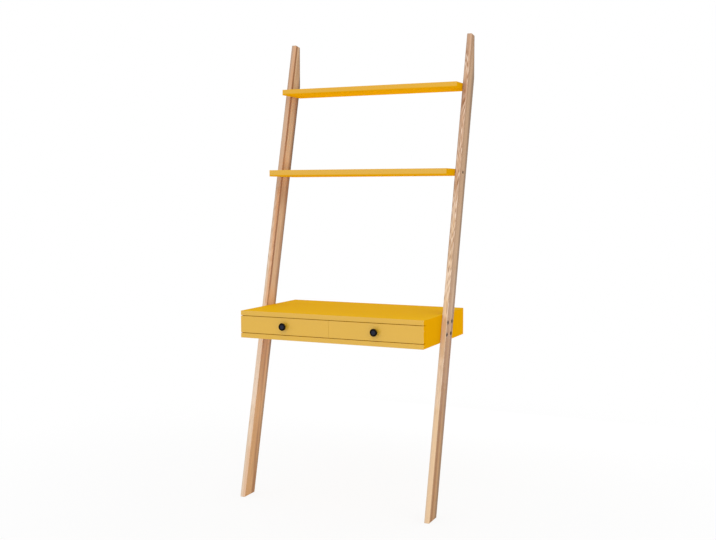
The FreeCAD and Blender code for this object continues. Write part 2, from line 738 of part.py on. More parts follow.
def fixings():
    """The bolts, inserts, dowels, hangers and screws that are alike, grouped by kind."""
    groups = {"leg_bolts": [], "bolt_inserts": [], "wall_hangers": [], "wall_hanger_screws": []}
    groups["dowels"] = desk_dowels()
    for side in SIDES.values():
        groups["leg_bolts"] += fasteners(LEG_BOLT, leg_bolt_points(side), Vec(side, 0, 0))
        groups["bolt_inserts"] += insert_solids(side)
        groups["dowels"] += shelf_dowels(side)
        groups["wall_hangers"].append(hanger(side))
        groups["wall_hanger_screws"] += fasteners(HANGER_SCREW, hanger_screw_points(side), Vec(0, 1, 0))
    groups["desk_screws"] = desk_screws()
    groups["desk_runner_screws"] = desk_runner_screws()
    groups["front_bumpers"] = front_bumpers()
    return groups


def build():
    """Every node of the piece by name."""
    nodes = {}
    for name, side in SIDES.items():
        nodes["leg_" + name] = leg(side)
        nodes["desk_side_" + name] = desk_side(side)
        nodes.update({f"{name}_drawer_{piece}": shape for piece, shape in drawer(name).items()})
        for race in RACES:
            nodes[f"{name}_drawer_{race}_balls"] = balls(name, race)
            nodes[f"{name}_drawer_{race}_ball_cages"] = ball_cages(name, race)
    for owner, name in runner_edges():
        pieces = runner(owner, name)
        nodes.update({f"{owner}_drawer_{name}_runner_{piece}": shape for piece, shape in pieces.items()})
    nodes["desk_top"] = desk_panel(BAY_TOP, DESK_HEIGHT, BAY_TOP)
    nodes["desk_bottom"] = desk_panel(DESK_BOTTOM, DESK_BOTTOM, BAY_BOTTOM)
    nodes["desk_divider"] = desk_divider()
    nodes["desk_back"] = desk_back()
    nodes.update({"shelf_" + name: shelf(name) for name in SHELVES})
    nodes.update(fixings())
    return nodes


save(build())
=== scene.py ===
# %% [markdown]
# # A leaning ladder desk
#
# Two ash boards lean on a wall. Between them hang a desk box with two drawers and two shelves, all
# sprayed in the same golden yellow. This lesson dresses that desk: the joiner's pieces arrive ready
# cut, at their real size, and each cell gives one of them its finish or adds what turning, casting or
# threading would have left on it. Lengths are in metres, X runs to the right, Y to the wall and Z up.

# %% Load the cut pieces
import json
import math
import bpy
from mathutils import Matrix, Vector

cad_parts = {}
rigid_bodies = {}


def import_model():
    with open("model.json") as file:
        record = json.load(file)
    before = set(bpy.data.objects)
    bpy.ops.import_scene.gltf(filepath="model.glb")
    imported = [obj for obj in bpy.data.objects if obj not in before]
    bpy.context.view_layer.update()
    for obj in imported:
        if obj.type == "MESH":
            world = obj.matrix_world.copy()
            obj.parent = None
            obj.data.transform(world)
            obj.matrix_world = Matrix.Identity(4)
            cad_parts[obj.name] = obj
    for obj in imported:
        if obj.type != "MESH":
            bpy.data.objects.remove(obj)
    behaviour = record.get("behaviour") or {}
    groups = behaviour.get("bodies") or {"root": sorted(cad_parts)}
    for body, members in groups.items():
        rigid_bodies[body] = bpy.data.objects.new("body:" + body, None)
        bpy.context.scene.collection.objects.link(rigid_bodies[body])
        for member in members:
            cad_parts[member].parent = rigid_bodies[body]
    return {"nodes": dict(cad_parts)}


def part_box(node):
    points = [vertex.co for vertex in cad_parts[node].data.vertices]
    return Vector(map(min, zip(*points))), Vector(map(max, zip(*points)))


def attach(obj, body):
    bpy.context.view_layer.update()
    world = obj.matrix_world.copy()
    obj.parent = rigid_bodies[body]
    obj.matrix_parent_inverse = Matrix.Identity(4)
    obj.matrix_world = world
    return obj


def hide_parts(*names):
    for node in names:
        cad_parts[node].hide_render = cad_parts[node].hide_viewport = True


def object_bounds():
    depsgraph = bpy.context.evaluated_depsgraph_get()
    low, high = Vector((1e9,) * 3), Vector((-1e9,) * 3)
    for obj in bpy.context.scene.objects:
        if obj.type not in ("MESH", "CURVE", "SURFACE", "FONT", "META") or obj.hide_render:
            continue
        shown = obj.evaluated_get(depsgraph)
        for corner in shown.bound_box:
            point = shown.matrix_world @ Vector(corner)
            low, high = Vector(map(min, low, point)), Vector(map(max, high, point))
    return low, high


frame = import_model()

from types import SimpleNamespace

import bmesh
import bpy
from mathutils import Vector

CAD_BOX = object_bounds()

# %% [markdown]
# ## Measuring from the pieces
#
# A finish has to know where a piece starts and which way its grain runs, and a screw has to know where
# its hole is. All of that can be read from the pieces themselves, so nothing here has to be kept in
# step by hand when the desk changes size. The boards' slope comes from the box of one: over its full
# height its front edge falls back by the depth of the box, less that of its top end.

# %% Places read from the pieces
MM = 0.001
DRAWERS = ("left", "right")
TOP_END = 35.5 * MM                     # depth of a side board's top end
TOP_FALL = 5 * MM                       # of that end, from its front to the wall
BOARD_WIDTH = 75 * MM                   # square across a side board
board_low, board_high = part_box("leg_right")
HEIGHT = board_high.z - board_low.z
LEAN = math.atan((board_high.y - board_low.y - TOP_END) / HEIGHT)
print("height", round(HEIGHT, 4), "lean in degrees", round(math.degrees(LEAN), 2))

# %% [markdown]
# A group of alike screws arrives as one piece made of loose triangles. Corners that share a place
# belong to the same screw, so joining them again gives the separate screws back. The wider end of each
# is its head. Two screws that meet tip to tip share corners too and come back as one, so of the pairs in
# the desk's divider only the left ones are found.

# %% Separate solids of a piece
def separate(node):
    """The corner points of each separate solid in a piece."""
    mesh = frame["nodes"][node].data
    owner = list(range(len(mesh.vertices)))
    first_at = {}

    def root(index):
        while owner[index] != index:
            owner[index] = owner[owner[index]]
            index = owner[index]
        return index

    for vertex in mesh.vertices:
        key = tuple(round(value, 6) for value in vertex.co)
        owner[root(vertex.index)] = root(first_at.setdefault(key, vertex.index))
    for polygon in mesh.polygons:
        for index in polygon.vertices[1:]:
            owner[root(index)] = root(polygon.vertices[0])
    groups = {}
    for vertex in mesh.vertices:
        groups.setdefault(root(vertex.index), []).append(vertex.co)
    return list(groups.values())


def limits(points):
    """The lowest and highest corner of the box round some points."""
    low = Vector([min(point[axis] for point in points) for axis in range(3)])
    high = Vector([max(point[axis] for point in points) for axis in range(3)])
    return low, high


def seats(node, along):
    """Each fixing's head in a piece, for fixings that point along an axis: its place and its way out."""
    found = []
    for points in separate(node):
        low, high = limits(points)
        centre = (low + high) / 2
        across = [axis for axis in range(3) if axis != along]
        reach = {}
        for sign, end in ((-1, low[along]), (1, high[along])):
            rim = [point for point in points if abs(point[along] - end) < 0.1 * MM]
            reach[sign] = max(round(math.hypot(*[point[a] - centre[a] for a in across]), 5) for point in rim)
        sign = max(reach, key=reach.get)
        place, out = centre.copy(), Vector((0, 0, 0))
        place[along] = high[along] if sign > 0 else low[along]
        out[along] = sign
        width = max(high[a] - low[a] for a in across)
        found.append((place, out, width, high[along] - low[along]))
    return found


X, Y, Z = range(3)
for place, _, width, length in seats("leg_bolts", X)[:2]:
    print("bolt at", [round(value, 4) for value in place], "size", round(width, 4), round(length, 4))

# %% [markdown]
# ## Shader maths that reads like maths
#
# A wood or a paint is a formula over a point of the surface. Blender's nodes can hold that formula,
# but wiring each one by hand hides it. The class below wraps one output socket. Adding, multiplying
# or dividing two of them adds a Math node and gives back its output, so a growth ring can be written
# as it is thought of. Every other node comes from the one method `node`. Geometry Nodes trees are
# built with the same class.

# %% A socket that can be calculated with
class Wire:
    """An output socket of a node tree, or the bare tree, that expressions can be built from."""

    def __init__(self, tree, socket=None):
        self.tree = tree
        self.socket = socket

    def node(self, kind, settings=None, sockets=None, output=0):
        """Adds a node: its settings first, then the values or links of its sockets."""
        made = self.tree.nodes.new(kind)
        for name, value in (settings or {}).items():
            setattr(made, name, value)
        for name, value in (sockets or {}).items():
            target = pick(made.inputs, name)
            if isinstance(value, Wire):
                self.tree.links.new(value.socket, target)
            else:
                target.default_value = value
        return Wire(self.tree, pick(made.outputs, output) if made.outputs else None)

    def also(self, output):
        """Another output of the same node."""
        return Wire(self.tree, pick(self.socket.node.outputs, output))

    def maths(self, operation, *others):
        return self.node("ShaderNodeMath", {"operation": operation}, dict(enumerate((self, *others))))

    def __add__(self, other):
        return self.maths("ADD", other)

    def __sub__(self, other):
        return self.maths("SUBTRACT", other)

    def __rsub__(self, other):
        return self.node("ShaderNodeMath", {"operation": "SUBTRACT"}, {0: other, 1: self})

    def __mul__(self, other):
        return self.maths("MULTIPLY", other)

    def __truediv__(self, other):
        return self.maths("DIVIDE", other)

    __radd__ = __add__
    __rmul__ = __mul__


def pick(sockets, name):
    """A socket by its number, its identifier or its name."""
    if isinstance(name, int):
        return sockets[name]
    return next(socket for socket in sockets if name in (socket.identifier, socket.name))


def seen(red, green, blue):
    """A colour as a screen shows it, from 0 to 255, turned into the linear values of a shader."""
    parts = [part / 255 for part in (red, green, blue)]
    return tuple(p / 12.92 if p <= 0.04045 else ((p + 0.055) / 1.055) ** 2.4 for p in parts)


# %% Helpers for the patterns that several finishes share
def mixed(factor, first, second):
    """Two colours blended by a factor."""
    colours = [c if isinstance(c, Wire) else (*c, 1.0) for c in (first, second)]
    sockets = {"Factor_Float": factor, "A_Color": colours[0], "B_Color": colours[1]}
    return factor.node("ShaderNodeMix", {"data_type": "RGBA"}, sockets, "Result_Color")


def cloudy(point, scale, detail=0.0):
    """Soft noise from 0 to 1, with so many lumps in a metre on each axis."""
    sockets = {"Vector": point, "Vector_001": scale}
    squeezed = point.node("ShaderNodeVectorMath", {"operation": "MULTIPLY"}, sockets)
    sockets = {"Vector": squeezed, "Scale": 1.0, "Detail": detail, "Roughness": 0.5}
    return squeezed.node("ShaderNodeTexNoise", {}, sockets, "Fac")


def speckled(point, fine, detail=1.0):
    """Noise that is as fine in every direction, with so many lumps in a metre."""
    return cloudy(point, (fine, fine, fine), detail)


def rise(value, start, end):
    """0 below start, 1 above end and a smooth step between them."""
    settings = {"interpolation_type": "SMOOTHSTEP"}
    sockets = {"Value": value, "From Min": start, "From Max": end}
    return value.node("ShaderNodeMapRange", settings, sockets, "Result")


def split(point):
    """The three coordinates of a point."""
    x = point.node("ShaderNodeSeparateXYZ", {}, {"Vector": point}, "X")
    return x, x.also("Y"), x.also("Z")


def moved(point, location, rotation):
    """A point read in a frame that stands at a location and is turned by three angles."""
    sockets = {"Vector": point, "Location": location, "Rotation": rotation}
    return point.node("ShaderNodeMapping", {"vector_type": "TEXTURE"}, sockets)


def cleared(owner):
    """The emptied node tree of a material or a world."""
    owner.use_nodes = True
    owner.node_tree.nodes.clear()
    return Wire(owner.node_tree)


def finish(name, build, **constants):
    """A material whose surface sockets come from build, and whose other sockets hold constants."""
    material = bpy.data.materials.new(name)
    bare = cleared(material)
    point = bare.node("ShaderNodeTexCoord", output="Object")
    surface = bare.node("ShaderNodeBsdfPrincipled", {}, {**constants, **build(point)}, "BSDF")
    bare.node("ShaderNodeOutputMaterial", {}, {"Surface": surface})
    print(name, "has", len(material.node_tree.nodes), "nodes")
    return material


def bumped(height, distance):
    """A normal that leans with a height from 0 to 1, where 1 stands a distance proud."""
    return height.node("ShaderNodeBump", {}, {"Height": height, "Distance": distance, "Strength": 1.0})


DRESSED = set()


def dress(material, *nodes):
    """Gives cut pieces their finish."""
    for name in nodes:
        slots = frame["nodes"][name].data.materials
        slots.clear()
        slots.append(material)
        DRESSED.add(name)


# %% [markdown]
# ## Ash, cut from a log
#
# A board shows the rings of the tree that it came from. A picture of wood wrapped round the board
# would break at every corner, so the grain is worked out in the solid instead. The point on the
# surface is first read in the board's own frame: across its thickness, back from its front edge, and
# along its length. From there it is carried into the log, where its distance from the heart gives the
# ring that it lies in, and the face, the edge and the sawn ends then agree by themselves. Ash is
# ring-porous: every ring starts with a band of open brown pores and ends in dense pale wood.
#
# Both boards came from the outside of a plank, so their front edges are pale sapwood, palest at the
# foot. Behind it the heartwood is warmer and carries a few brown mineral streaks, which follow the
# grain. At the upright wall cut the sides are browned by handling. Some streaks and marks are painted
# light and shade instead: dark bands just under the shelves, along the rear edge under the shelves and
# the desk, and down the left arris of each front edge, and pale bands just above the desk top and the
# middle shelf, as light thrown back by the yellow paint.

# %% Sizes of the ash
RING = 4.2 * MM                         # average thickness of a year's growth
WANDER = 9 * MM                         # span by which the rings stray from true circles
YEAR_SHIFT = 1.6                        # and by which good and poor years shift them, in rings
POROUS_START = (0.0, 0.05)              # share of a ring in which its open pores begin
POROUS_END = (0.10, 0.52)               # in which they give way to dense wood
DENSE_PINK = (0.55, 1.0)                # and in which the dense wood turns pink
SAP_DEPTH = (0.5 * MM, 5 * MM)          # the pale front edge fades into the heartwood between these
LOW_WOOD = (0.66, 0.82)                 # lengths between which the browner butt end gives way
GREY_SIDE = 11 * MM                     # width of the greyer left side of the front edge
FLAME = 48 * MM                         # height of one flame on the front edge
FLAME_WIDTH = 11 * MM                   # this far beside its tip, a flame has risen by its height
FLAME_TIP = 9.5 * MM                    # place of the tips from the front edge's left
TIP_SWING = 30 * MM                     # span over which that place swings along the board
DRIFT = 3 * MM                          # span by which streaks and marks stray from straight lines
STREAK_END = 0.07                       # streaks, flames and marks fade in and out over
FLAME_END = 0.03                        # this much on either side of their ends
MARK_END = 0.02
REAR_EDGE = (0.8 * MM, 0.2 * MM)        # streaks fade out between these distances from the rear edge
WORN_STRIP = (4 * MM, 8 * MM)           # the sides are browned this far from the upright wall cut
WALL_CUT = (0.2 * MM, 0.6 * MM)         # but not the cut itself
TOP_CUT = (0.2 * MM, 0.5 * MM)          # the cut at the top shows end grain
BOLT_RING = (7.5 * MM, 9.5 * MM)           # dark ring round a desk bolt

# Lumps of each pattern in a metre, across the log both ways and then along it.
BENDS = (9, 9, 1.3)
YEARS = (45, 45, 0.5)
BROAD_BANDS = (60, 60, 0.9)
PATCHES = (150, 150, 11)
NARROW_BANDS = (190, 190, 2.2)
VEINS = (380, 380, 4.5)
FIBRES = (900, 900, 14)
PORES = (2300, 2300, 130)
SWAY = (0, 0, 2.2)                      # of the streaks
TIP_SWAY = (0, 0, 5)                    # of the flames' tips

# %% Colours of the ash
PORE_BROWN = seen(146, 100, 64)
# Brown of the streaks, also used for painted shade under the shelves.
STREAK_AND_SHADE_BROWN = seen(150, 98, 56)
STREAK_RED = seen(140, 84, 42)
STREAK_ORANGE = seen(220, 154, 96)
STREAK_GREY = seen(134, 110, 88)
# Painted light: the pale that the yellow paint throws back onto the boards.
PAINTED_BOUNCE_PALE = seen(244, 200, 158)
# Brown of the handling wear, also used for painted shade along the rear edge.
WEAR_AND_SHADE_BROWN = seen(98, 78, 62)
SUMMER_PINK = seen(228, 180, 146)
SAP_GREY = seen(212, 190, 168)
FLAME_PALE = seen(250, 228, 208)
# Dark of the flames, also used for painted shade on the front edge.
FLAME_AND_SHADE_DARK = seen(152, 106, 74)
# Dark of the ring round each desk bolt.
BOLT_RING_DARK = seen(58, 30, 8)


# %% The grain of the log
def line(value, place, half_width):
    """1 about a place, fading to 0 at half a width from it."""
    return 1 - rise((value - place).maths("ABSOLUTE"), 0.35 * half_width, half_width)


def stretch_of(value, start, end, soft):
    """1 between two lengths along a board, with soft ends."""
    return rise(value, start - soft, start + soft) * (1 - rise(value, end - soft, end + soft))


def grain_at(log):
    """The patterns at a point of the log: those that swing both ways lie about 0, the others from 0 to 1."""
    log_x, log_y, _ = split(log)
    radius = (log_x * log_x + log_y * log_y).maths("SQRT")
    bend = cloudy(log, BENDS, 1.5) - 0.5
    years = cloudy(log, YEARS) - 0.5
    ring = (radius / RING + bend * (WANDER / RING) + years * YEAR_SHIFT).maths("FRACT")
    porous = (1 - rise(ring, *POROUS_END)) * rise(ring, *POROUS_START)
    pores = rise(cloudy(log, PORES, 1.0), 0.52, 0.66)
    return SimpleNamespace(
        bend=bend,
        porous=porous,
        dense=(1 - porous) * rise(ring, *DENSE_PINK),
        pores=pores * (0.25 + porous * 0.75),
        fibre=cloudy(log, FIBRES, 2.0),
        broad=rise(cloudy(log, BROAD_BANDS, 1.0), 0.32, 0.68),
        narrow=cloudy(log, NARROW_BANDS, 1.0) - 0.5,
        veins=rise(cloudy(log, VEINS, 1.0), 0.46, 0.70),
        patch=rise(cloudy(log, PATCHES, 1.0), 0.34, 0.62),
    )


# %% Heartwood and sapwood
def heartwood(board, before_wall, grain, tones, streaks):
    """The wood behind the front edge, with the streaks that run along it."""
    _, back, along = split(board)
    butt = 1 - rise(along, *LOW_WOOD)
    wood = mixed(butt * 0.80 + grain.broad * 0.20, *tones)
    wood = mixed(grain.dense * 0.4, wood, SUMMER_PINK)
    sway = (cloudy(board, SWAY) - 0.5) * DRIFT + grain.narrow * DRIFT
    sides_only = 1 - rise(back, *[BOARD_WIDTH - margin for margin in REAR_EDGE])
    for place, half_width, start, end, strength, colour in streaks:
        streak = line(back + sway, place * MM, half_width * MM) * stretch_of(along, start, end, STREAK_END)
        wood = mixed(streak * sides_only * (strength + grain.narrow * 0.5), wood, colour)
    worn = (1 - rise(before_wall, *WORN_STRIP)) * rise(before_wall, *WALL_CUT)
    wood = mixed(worn * 0.55, wood, WEAR_AND_SHADE_BROWN)
    wood = mixed(grain.veins * 0.30, wood, PORE_BROWN)
    wood = mixed(grain.porous * (0.04 + grain.fibre * 0.30), wood, PORE_BROWN)
    return mixed(grain.pores * 0.25, wood, PORE_BROWN)


def sapwood(board, grain, tones, flames, marks):
    """The pale wood of the front edge, with its flames and marks."""
    foot, head, change = tones
    across, _, along = split(board)
    sap = mixed(rise(along + grain.narrow * 0.3, *change), foot, head)
    sap = mixed((1 - rise(across, 0.0, GREY_SIDE)) * 0.55, sap, SAP_GREY)
    tips = FLAME_TIP + (cloudy(board, TIP_SWAY) - 0.5) * TIP_SWING
    side = (across - tips) / FLAME_WIDTH
    flame = (along / FLAME - side * side + grain.bend * 3.0 + grain.narrow * 2.5).maths("FRACT")
    pale, dark = line(flame, 0.30, 0.28), line(flame, 0.74, 0.26)
    for start, end, strength in flames:
        here = stretch_of(along, start, end, FLAME_END) * grain.patch * strength
        sap = mixed(dark * here, mixed(pale * here, sap, FLAME_PALE), FLAME_AND_SHADE_DARK)
    for place, half_width, start, end, strength, colour in marks:
        mark = line(across + grain.narrow * DRIFT, place * MM, half_width * MM)
        sap = mixed(mark * stretch_of(along, start, end, MARK_END) * strength, sap, colour)
    sap = mixed(grain.veins * 0.10, sap, PORE_BROWN)
    return mixed(grain.pores * 0.15, sap, PORE_BROWN)


# %% The wood of one board
def ash(name, foot, log_place, heart_tones, sap_tones, streaks, flames, marks):
    """Ash for the board whose box starts at foot; log_place says where the log's heart runs past it."""
    heart, tilt = log_place

    def build(point):
        _, y, z = split(point)
        board = moved(point, (foot.x, foot.y, 0), (-LEAN, 0, 0))
        grain = grain_at(moved(board, heart, (*tilt, 0)))
        _, back, _ = split(board)
        wood = heartwood(board, board_high.y - y, grain, heart_tones, streaks)
        sap = sapwood(board, grain, sap_tones, flames, marks)
        wood = mixed(1 - rise(back + grain.narrow * (2 * MM), *SAP_DEPTH), wood, sap)
        below_top = HEIGHT - z - (y - (board_high.y - TOP_END)) * (TOP_FALL / TOP_END)
        wood = mixed((1 - rise(below_top, *TOP_CUT)) * (0.30 + grain.porous * 0.4), wood, PORE_BROWN)
        # Each desk bolt gets a dark ring round its head.
        for place in DESK_BOLTS:
            ahead, up = y - place.y, z - place.z
            from_bolt = (ahead * ahead + up * up).maths("SQRT")
            wood = mixed((1 - rise(from_bolt, *BOLT_RING)) * 0.95, wood, BOLT_RING_DARK)
        return {
            "Base Color": wood,
            "Roughness": 0.55 + grain.pores * 0.2 + grain.porous * 0.08,
            "Normal": bumped((1 - grain.pores) * 0.8 + grain.fibre * 0.2, 0.08 * MM),
        }

    return finish(name, build, **{"Specular IOR Level": 0.2})


# %% Left and right board
DESK_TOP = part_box("desk_side_right")[1].z
DESK_BOLTS = [place for place, out, *_ in seats("leg_bolts", X) if out.x > 0 and place.z < DESK_TOP]
# A streak has its place behind the front edge and its half width in millimetres, the lengths along the
# board in metres between which it shows, its strength and its colour. A mark is a streak of the front
# edge, with its place from the left of that edge. A flame has its lengths and its strength. Heartwood
# has its colours high up and at the butt; sapwood has those at the foot and high up, and the lengths
# between which they change. A log has the place of its heart beside the board and its tilt.
LEFT_LOG = ((0.085, 0.25, 0.7), (0.010, 0.014))
LEFT_HEART = (seen(211, 181, 145), seen(210, 162, 107))
LEFT_SAP = (seen(246, 220, 193), seen(214, 177, 146), (0.78, 1.25))
LEFT_STREAKS = [
    (10, 10, 0.60, 1.95, 0.95, STREAK_AND_SHADE_BROWN),
    (8, 8, 0.76, 0.96, 0.40, STREAK_RED),
    (64, 20, 0.62, 1.70, 0.55, STREAK_AND_SHADE_BROWN),
    (69, 14, 0.00, 1.75, 0.55, STREAK_GREY),
    (22, 30, 0.40, 0.72, 0.22, STREAK_AND_SHADE_BROWN),
    (56, 10, -0.20, 0.12, 0.62, STREAK_AND_SHADE_BROWN),
    (49, 9, 0.12, 0.29, 0.62, STREAK_AND_SHADE_BROWN),
    (64, 14, -0.20, 0.14, 0.25, STREAK_RED),
    (47, 8, 0.24, 0.42, 0.22, STREAK_AND_SHADE_BROWN),
    (8, 8, 0.42, 0.66, 0.26, STREAK_AND_SHADE_BROWN),
    (40, 9, 0.42, 0.66, 0.38, STREAK_AND_SHADE_BROWN),
    # Painted shade: the next two darken the board just under the middle shelf.
    (30, 24, 1.20, 1.25, 0.60, STREAK_AND_SHADE_BROWN),
    (64, 24, 1.21, 1.26, 0.75, STREAK_AND_SHADE_BROWN),
    # Painted shade just under the upper shelf.
    (56, 30, 1.56, 1.63, 0.32, STREAK_AND_SHADE_BROWN),
    # Painted light: the next two lighten the board just above the desk top and the middle shelf.
    (34, 40, 0.72, 0.81, 0.90, PAINTED_BOUNCE_PALE),
    (27, 30, 1.32, 1.40, 0.50, PAINTED_BOUNCE_PALE),
    (66, 12, 1.62, 1.80, 0.40, STREAK_GREY),
    (44, 24, 1.72, 1.95, 0.42, STREAK_AND_SHADE_BROWN),
    (76, 6, 0.50, 1.95, 0.90, WEAR_AND_SHADE_BROWN),
    # Painted shade: the next two darken the rear edge under the shelves and under the desk.
    (70, 11, 1.32, 1.95, 0.50, WEAR_AND_SHADE_BROWN),
    (70, 11, 0.52, 0.66, 0.50, WEAR_AND_SHADE_BROWN),
    (76, 5, -0.20, 0.50, 0.40, WEAR_AND_SHADE_BROWN),
]
LEFT_FLAMES = [(0.76, 1.30, 0.30), (0.20, 0.50, 0.16)]
LEFT_MARKS = [
    (12, 30, 0.36, 0.66, 0.55, FLAME_PALE),
    # Painted shade down the left arris of the front edge.
    (0.5, 4, 1.22, 1.95, 0.36, FLAME_AND_SHADE_DARK),
    (16, 10, -0.20, 0.20, 0.32, STREAK_ORANGE),
    (16, 9, 0.76, 1.24, 0.52, STREAK_ORANGE),
    (16, 8, 1.68, 1.95, 0.35, STREAK_ORANGE),
    # Painted shade just under the middle shelf.
    (8, 20, 1.23, 1.29, 0.20, FLAME_AND_SHADE_DARK),
    # Painted shade down the left arris, high up.
    (2, 9, 1.60, 1.95, 0.30, FLAME_AND_SHADE_DARK),
]
RIGHT_LOG = ((0.030, -0.05, 0.9), (0.016, -0.008))
RIGHT_HEART = (seen(197, 163, 128), seen(192, 146, 95))
RIGHT_SAP = (seen(243, 209, 169), seen(212, 173, 141), (0.65, 1.55))
RIGHT_STREAKS = [
    (21, 15, -0.20, 0.68, 0.62, STREAK_AND_SHADE_BROWN),
    (11, 10, 0.74, 1.95, 0.26, STREAK_AND_SHADE_BROWN),
    (22, 16, 0.68, 0.94, 0.28, STREAK_RED),
    (64, 16, -0.20, 1.75, 0.70, STREAK_GREY),
    (56, 14, 1.50, 1.95, 0.40, STREAK_GREY),
    (70, 13, 0.72, 1.12, 0.50, STREAK_GREY),
    (76, 6, 0.40, 1.95, 0.90, WEAR_AND_SHADE_BROWN),
    (76, 5, -0.20, 0.40, 0.50, WEAR_AND_SHADE_BROWN),
    (68, 16, 0.48, 0.84, 0.60, STREAK_AND_SHADE_BROWN),
    (38, 60, 0.32, 0.74, 0.32, STREAK_AND_SHADE_BROWN),
    (30, 60, 1.78, 1.95, 0.32, STREAK_AND_SHADE_BROWN),
    (34, 20, 1.80, 1.95, 0.30, STREAK_GREY),
]
RIGHT_FLAMES = [(1.66, 1.80, 0.70), (0.74, 1.32, 0.80), (1.34, 1.62, 0.75), (0.40, 0.60, 0.25)]
RIGHT_MARKS = [
    (9, 30, 0.42, 0.60, 0.30, FLAME_PALE),
    (9, 30, 0.83, 0.93, 0.26, FLAME_PALE),
    (9, 30, 1.12, 1.22, 0.22, FLAME_PALE),
    # Painted shade down the left arris of the front edge.
    (0.5, 4, 0.92, 1.95, 0.40, FLAME_AND_SHADE_DARK),
    (10, 24, 0.60, 0.70, 0.14, FLAME_AND_SHADE_DARK),
    (13, 12, 0.70, 0.74, 0.22, FLAME_AND_SHADE_DARK),
    (10, 24, 0.97, 1.04, 0.16, FLAME_AND_SHADE_DARK),
    # Painted shade just under the middle shelf.
    (10, 26, 1.22, 1.28, 0.24, FLAME_AND_SHADE_DARK),
    (4, 9, 1.40, 1.58, 0.22, FLAME_AND_SHADE_DARK),
    (5, 14, 1.56, 1.665, 0.48, STREAK_RED),
    (5, 11, 1.75, 1.81, 0.34, FLAME_AND_SHADE_DARK),
    (6, 10, 1.79, 1.95, 0.30, FLAME_AND_SHADE_DARK),
]

# %% Dress the boards
BOARDS = {
    "left": (LEFT_LOG, LEFT_HEART, LEFT_SAP, LEFT_STREAKS, LEFT_FLAMES, LEFT_MARKS),
    "right": (RIGHT_LOG, RIGHT_HEART, RIGHT_SAP, RIGHT_STREAKS, RIGHT_FLAMES, RIGHT_MARKS),
}
for side, wood in BOARDS.items():
    leg = "leg_" + side
    dress(ash("ash_" + side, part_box(leg)[0], *wood), leg)

# %% [markdown]
# ## Golden yellow paint
#
# The desk box, the drawer fronts and the shelves are fibreboard under sprayed satin lacquer. Such a
# film is never quite flat: it dries into very shallow dimples, and its colour wanders by a breath
# where the coat is thicker. The sprayer stood in front, so the edges and drawer fronts that faced the
# gun got a last wet pass and dried glossier than the rest. Principled's coat is that last pass: it is
# thick where the surface lies in the plane of the fronts, a breath of it drifted onto the tops, and the
# ends and undersides have none. The fronts and tops are also painted a paler, greener yellow than the
# ends and undersides: that is painted light, lit copies of the same paint, and over a shelf's rounded
# lower edge the front keeps the plain yellow as painted shade.

# %% Satin lacquer
YELLOW = seen(233, 167, 6)
# The next two are painted light: paler, greener lit copies of YELLOW for the fronts and for the tops.
YELLOW_LIT_FRONT = seen(233, 180, 12)
YELLOW_LIT_TOP = seen(231, 178, 10)
BLACK = (0.0, 0.0, 0.0)
SHADE = 0.04                            # how far the colour wanders with the thickness of the film
COAT_WANDER = 0.04                      # and how far the last pass does, either way
DIMPLES, CLOUDS = 420, 7                # in a metre of film
COAT_AND_LIGHT_EDGE = (0.6 * MM, 2.0 * MM)         # wet pass and painted lit colour end round the eased edge
SHADED_LOWER_EDGE = (3.0 * MM, 7.5 * MM)         # both rise over these heights; below, a shelf's edge is in painted shade
SATIN = {"Specular IOR Level": 0.0, "Coat Roughness": 0.5, "Coat IOR": 1.98}


def lacquer(name, node, bottom, front_gloss, top_gloss):
    """Paint for pieces with the front and top planes of a node, which are painted in lit colours; the last
    pass and the lit colours build up from the bottom.
    """
    low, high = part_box(node)

    def build(point):
        _, y, z = split(point)
        facing = (1 - rise(y - low.y, *COAT_AND_LIGHT_EDGE)) * rise(z - bottom, *SHADED_LOWER_EDGE)
        level = 1 - rise(high.z - z, *COAT_AND_LIGHT_EDGE)
        film = speckled(point, CLOUDS, 2.0)
        # Fronts and tops take the painted lit colours.
        paint = mixed(facing * front_gloss, mixed(level, YELLOW, YELLOW_LIT_TOP), YELLOW_LIT_FRONT)
        coat = (facing * front_gloss).maths("MAXIMUM", level * top_gloss)
        return {
            "Base Color": mixed(film * SHADE, paint, BLACK),
            "Roughness": 0.50 + film * 0.08,
            "Coat Weight": coat * (1 - COAT_WANDER + film * (2 * COAT_WANDER)),
            "Normal": bumped(speckled(point, DIMPLES), 0.02 * MM),
        }

    return finish(name, build, **SATIN)


# %% Spray the desk box, the drawer fronts and the shelves
# How much of the last pass the front and the top of each took. The front's share also sets how far its colour
# turns to the painted lit front yellow.
DESK_GLOSS_AND_LIGHT = (1.0, 0.075)
SHELF_GLOSS_AND_LIGHT = {"shelf_middle": (0.80, 0.05), "shelf_upper": (0.58, 0.05)}
desk_paint = lacquer("yellow_desk", "desk_top", 0.0, *DESK_GLOSS_AND_LIGHT)
dress(desk_paint, "desk_top", "desk_bottom", "desk_side_left", "desk_side_right", "desk_divider", "desk_back")
dress(desk_paint, *[f"{side}_drawer_front" for side in DRAWERS])
for shelf, gloss in SHELF_GLOSS_AND_LIGHT.items():
    dress(lacquer("yellow_" + shelf, shelf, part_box(shelf)[0].z, *gloss), shelf)

# %% [markdown]
# ## Birch plywood
#
# The drawer boxes are plywood. Its face is a peeled birch veneer with a soft flame, and its edges give
# it away: thin sheets with their grain crossed, so every second one shows its dark end grain, with a
# thread of glue between them. Worked out in the solid again, the plies appear on the edges alone. The
# thinnest size of each board is the way through its plies, and the longest is the way of its grain.

